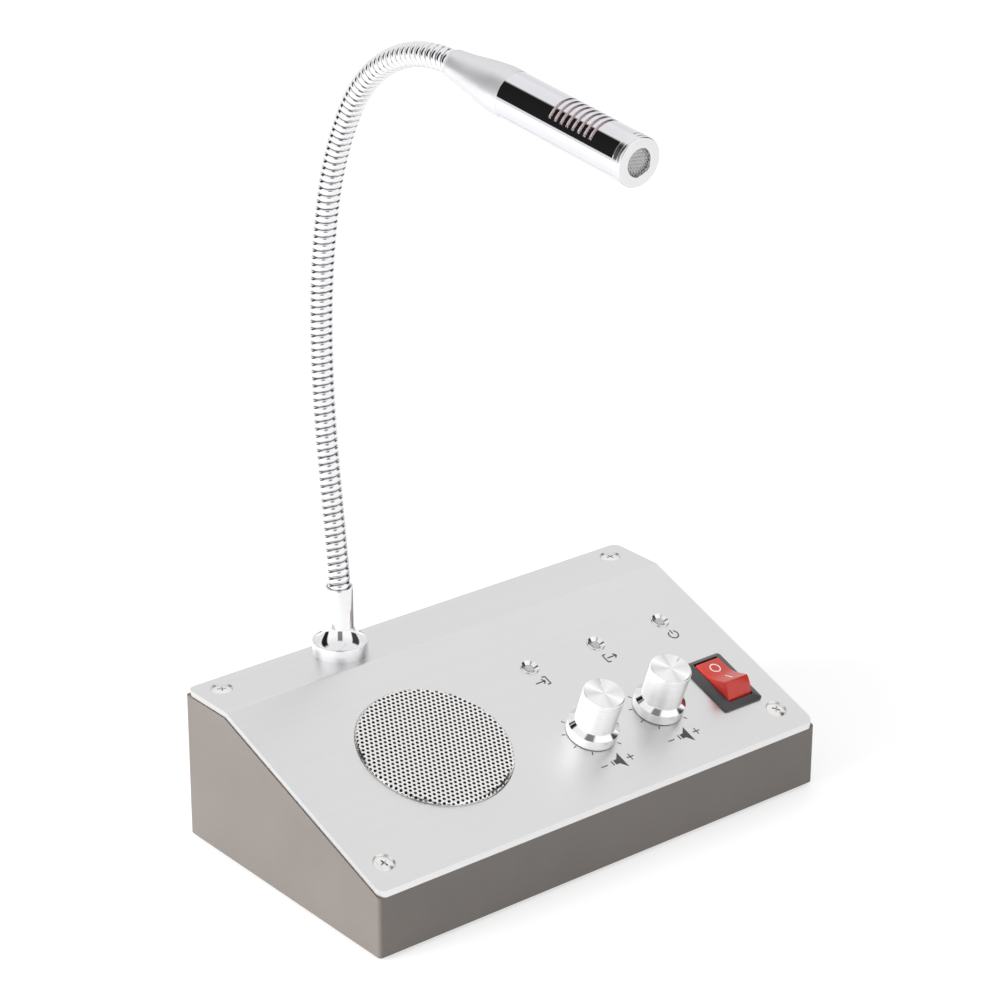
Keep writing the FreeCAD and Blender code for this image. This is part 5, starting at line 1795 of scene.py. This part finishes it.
@dataclass
class PowerSwitch:
    """Black housing and the red rocker with its two signs."""

    across: float = COLUMNS[2]
    width: float = 15.2
    length: float = 21.6
    height: float = 1.7
    edge: float = 0.6
    border: Point = (2.3, 1.55)
    body_width: float = 12.9
    body_length: float = 19.0
    body_depth: float = 12.0
    floor: float = 2.8
    clip: float = 0.35
    clip_half: float = 2.5
    clip_low: float = -5.0
    clip_high: float = -2.4
    rocker_width: float = 9.3
    reach: float = 6.5
    crest: float = 5.8
    valley: float = 4.3
    keel: Point = (3.25, -4.4)
    ease: float = 0.35
    tilt: float = 16.8
    pivot: float = -1.4
    gap: float = 0.2
    sign_off: float = 0.3
    sign_deep: float = -0.1
    sign_lift: float = 0.04
    ring: Point = (1.42, 1.78)
    ring_along: float = 3.2
    bar_half: float = 0.2
    bar_along: Point = (-4.6, -1.5)

    def build(self) -> None:
        """Make the switch."""
        self.housing()
        self.rocker()
        self.signs()
        keep(Look.BRASS, "switch_terminals")

    @property
    def swing(self) -> float:
        """How far the rocker's ends are from its pin."""
        return math.hypot(self.reach, self.crest)

    def housing(self) -> None:
        """The bezel with its sloping edge and the box below, both open for the rocker."""
        wide, long = self.rocker_width + 2 * self.gap, 2 * (self.swing + self.gap)
        depth, half = self.body_depth, self.clip_half
        bezel = rounded_box((self.width, self.length, self.edge), 1.0, 0.0)
        bezel.taper(self.edge, self.height - self.edge, self.border)
        bezel.cut(rounded_box((wide, long, 4.0), 0.4, -1.0))
        box = rounded_box((self.body_width, self.body_length, depth + 0.1), 0.6, -depth)
        box.cut(rounded_box((wide, long, depth), 0.4, -depth + self.floor))
        side = -self.body_width / 2
        clip = Shape().box((side - self.clip, -half, self.clip_low), (side, half, self.clip_high))
        clip.soften(0.3)
        clip.copies([Matrix.Identity(4), Matrix.Rotation(math.pi, 4, "Z")])
        place = DESK.on_slope(self.across, CONTROL_UP).matrix()
        item = bezel.take(box.take(clip)).made("switch_shell", place, 28.0)
        settle(item, Look.BLACK, "black_plastic", BASE, ["switch_housing"])

    def seat(self) -> Seat:
        """The rocker's own place: at its pin, tipped back."""
        seat = DESK.on_slope(self.across, CONTROL_UP, self.pivot)
        return Seat(seat.across, seat.along, seat.height, seat.tilt - self.tilt)

    def surface(self, along: float) -> float:
        """Height of the rocker's hollow top, from its pin.

        Args:
            along: Distance behind the pin.

        Returns:
            The height.
        """
        ease, share = self.ease, along / self.reach
        lift = (math.sqrt(share * share + ease * ease) - ease) / (math.hypot(1.0, ease) - ease)
        return self.valley + (self.crest - self.valley) * lift

    def rocker(self) -> None:
        """The rocker: two slopes that meet in a soft hollow, round ends and a keel."""
        turn, top = math.radians(self.tilt), math.atan2(self.crest, self.reach)
        places = [-self.reach + 2 * self.reach * step / 24 for step in range(25)]
        outline = [(along, self.surface(along)) for along in places]
        outline += arc((0.0, 0.0), self.swing, top, -turn, 8)[1:]
        outline += [self.keel, (-self.keel[0], self.keel[1])]
        outline += arc((0.0, 0.0), self.swing, math.pi + turn, math.pi - top, 8)[:-1]
        half = self.rocker_width / 2
        shape = Shape().prism(outline, -half, half).soften(0.28, 3, 50.0)
        shape.move(Matrix(((0, 0, 1, 0), (1, 0, 0, 0), (0, 1, 0, 0), (0, 0, 0, 1))))
        item = shape.made("rocker_cap", self.seat().matrix(), 30.0)
        settle(item, Look.RED, "rocker_red", "rocker", ["switch_rocker"])

    def signs(self) -> None:
        """The ring of off and the bar of on, laid on the rocker's hollow top."""
        (inner, outer), deep, half = self.ring, self.sign_deep, self.bar_half
        ring = [(inner, deep), (outer, deep), (outer, 0.0), (inner, 0.0)]
        circle = Shape().turned(ring, 48, ring=True).shift(self.sign_off, self.ring_along, 0.0)
        bar = Shape().box((-half, self.bar_along[0], deep), (half, self.bar_along[1], 0.0))
        edges = [e for e in bar.mesh.edges if abs(e.verts[0].co.y - e.verts[1].co.y) > 1]
        bmesh.ops.subdivide_edges(bar.mesh, edges=edges, cuts=10, use_grid_fill=True)
        shape = Shape().take(circle, bar.shift(self.sign_off, 0.0, 0.0))
        lift = self.sign_lift
        shape.reshape(lambda co: Vector((co.x, co.y, co.z + lift + self.surface(co.y))))
        item = shape.made("rocker_signs", self.seat().matrix())
        settle(item, Look.MARK, "header_white", "rocker")


# Lamps


@dataclass
class IndicatorLamps:
    """Three bright cones with clear lamps deep in them."""

    rim: float = 2.95
    rim_height: float = 0.35
    rim_roll: float = 0.25
    mouth: float = 2.6
    barrel: float = 2.5
    barrel_length: float = 7.0
    thread: float = 0.5
    thread_depth: float = 0.18
    ribs: int = 9
    plain: float = 1.9
    cone: float = 2.4
    wall: float = 0.88
    lamp: float = 1.5
    lamp_flange: float = 1.9
    flange_height: float = 0.75
    play: float = 0.06
    sink: float = 0.3
    swell: float = 0.3
    wire: float = 0.25
    wire_length: float = 6.9
    wire_apart: float = 2.54

    def build(self) -> None:
        """Make the bezels and lamps."""
        self.bezels()
        self.lamps()
        keep(Look.ZINC, "indicator_nuts")

    def seats(self) -> list[Matrix]:
        """The places of the three lamps."""
        return [DESK.on_slope(across, LAMP_UP).matrix() for across in COLUMNS]

    def bezels(self) -> None:
        """The cones with their rolled rims and threaded barrels."""
        top, roll, play = self.rim_height, self.rim_roll, self.play
        floor, base, outer = top - self.cone, -self.barrel_length, self.barrel
        section: list[Point] = [(self.lamp_flange + play, base), (outer, base)]
        for rib in range(self.ribs):
            low = base + 0.3 + self.thread * rib
            section += [(outer, low), (outer - self.thread_depth, low + self.thread / 2)]
        section += [(outer, -self.plain), (outer, 0.0), (self.rim, 0.0)]
        section += arc((self.rim - roll, top - roll), roll, 0.0, QUARTER, 6)
        section += [
            (self.mouth + 0.06, top), (self.mouth - 0.04, top - 0.08),
            (self.lamp + play, top - self.wall), (self.lamp + play, floor),
            (self.lamp_flange + play, floor),
        ]
        item = Shape().turned(section, 64, ring=True).copies(self.seats()).made("lamp_cones")
        settle(item, Look.BEZEL, "bezel_chrome", BASE, ["indicator_bezels"])

    def lamps(self) -> None:
        """Clear domes on a flange, with their wires."""
        low, flange = self.rim_height - self.cone - self.lamp, self.lamp_flange
        section: list[Point] = [(0.0, -self.sink)]
        for step in range(1, 9):
            turn = QUARTER * step / 8
            drop = self.swell * (1.0 - math.cos(turn))
            section.append((self.lamp * math.sin(turn), -self.sink - drop))
        section += [
            (self.lamp, low), (flange - 0.1, low), (flange, low - 0.1),
            (flange, low - self.flange_height), (0.0, low - self.flange_height),
        ]
        shape, thin, end = Shape().turned(section, 48), self.wire, -self.wire_length
        for side in (-self.wire_apart / 2, self.wire_apart / 2):
            wire = Shape().turned([(0.0, 0.0), (thin, 0.0), (thin, end), (0.0, end)], 12)
            shape.take(wire.shift(side, 0.0, low - 0.3))
        item = shape.copies(self.seats()).made("lamp_domes")
        settle(item, Look.LAMP, "lamp_clear", BASE, ["indicator_lamps"])


# Electronics


@dataclass
class Electronics:
    """The board, what stands on it, and the fasteners of the controls."""

    def build(self) -> None:
        """Dress the inner pieces."""
        keep(Look.BOARD, "main_board")
        keep(Look.ZINC, "board_screws", "pot_washers", "pot_nuts")
        keep(Look.CHIP, "amplifier_chips")
        keep(Look.HEADER, "board_headers")
        keep(Look.SLEEVE, "board_capacitors")
        keep(Look.SINK, "heat_sink")
        keep(Look.INSERT, "dc_power_jack", "outer_unit_jack", "line_out_jack")


def main() -> None:
    """Build the scene in order and note its size."""
    logging.basicConfig(level=logging.INFO, format="%(message)s")
    parts = [
        Studio(),
        Casing(),
        Loudspeaker(),
        Neck(),
        Microphone(),
        VolumeKnob(Channel.INSIDE, COLUMNS[0], 70.0),
        VolumeKnob(Channel.OUTSIDE, COLUMNS[1], 23.0),
        PowerSwitch(),
        IndicatorLamps(),
        Electronics(),
    ]
    for part in parts:
        part.build()
        LOG.info("%s done", type(part).__name__)


if __name__ == "__main__":
    main()
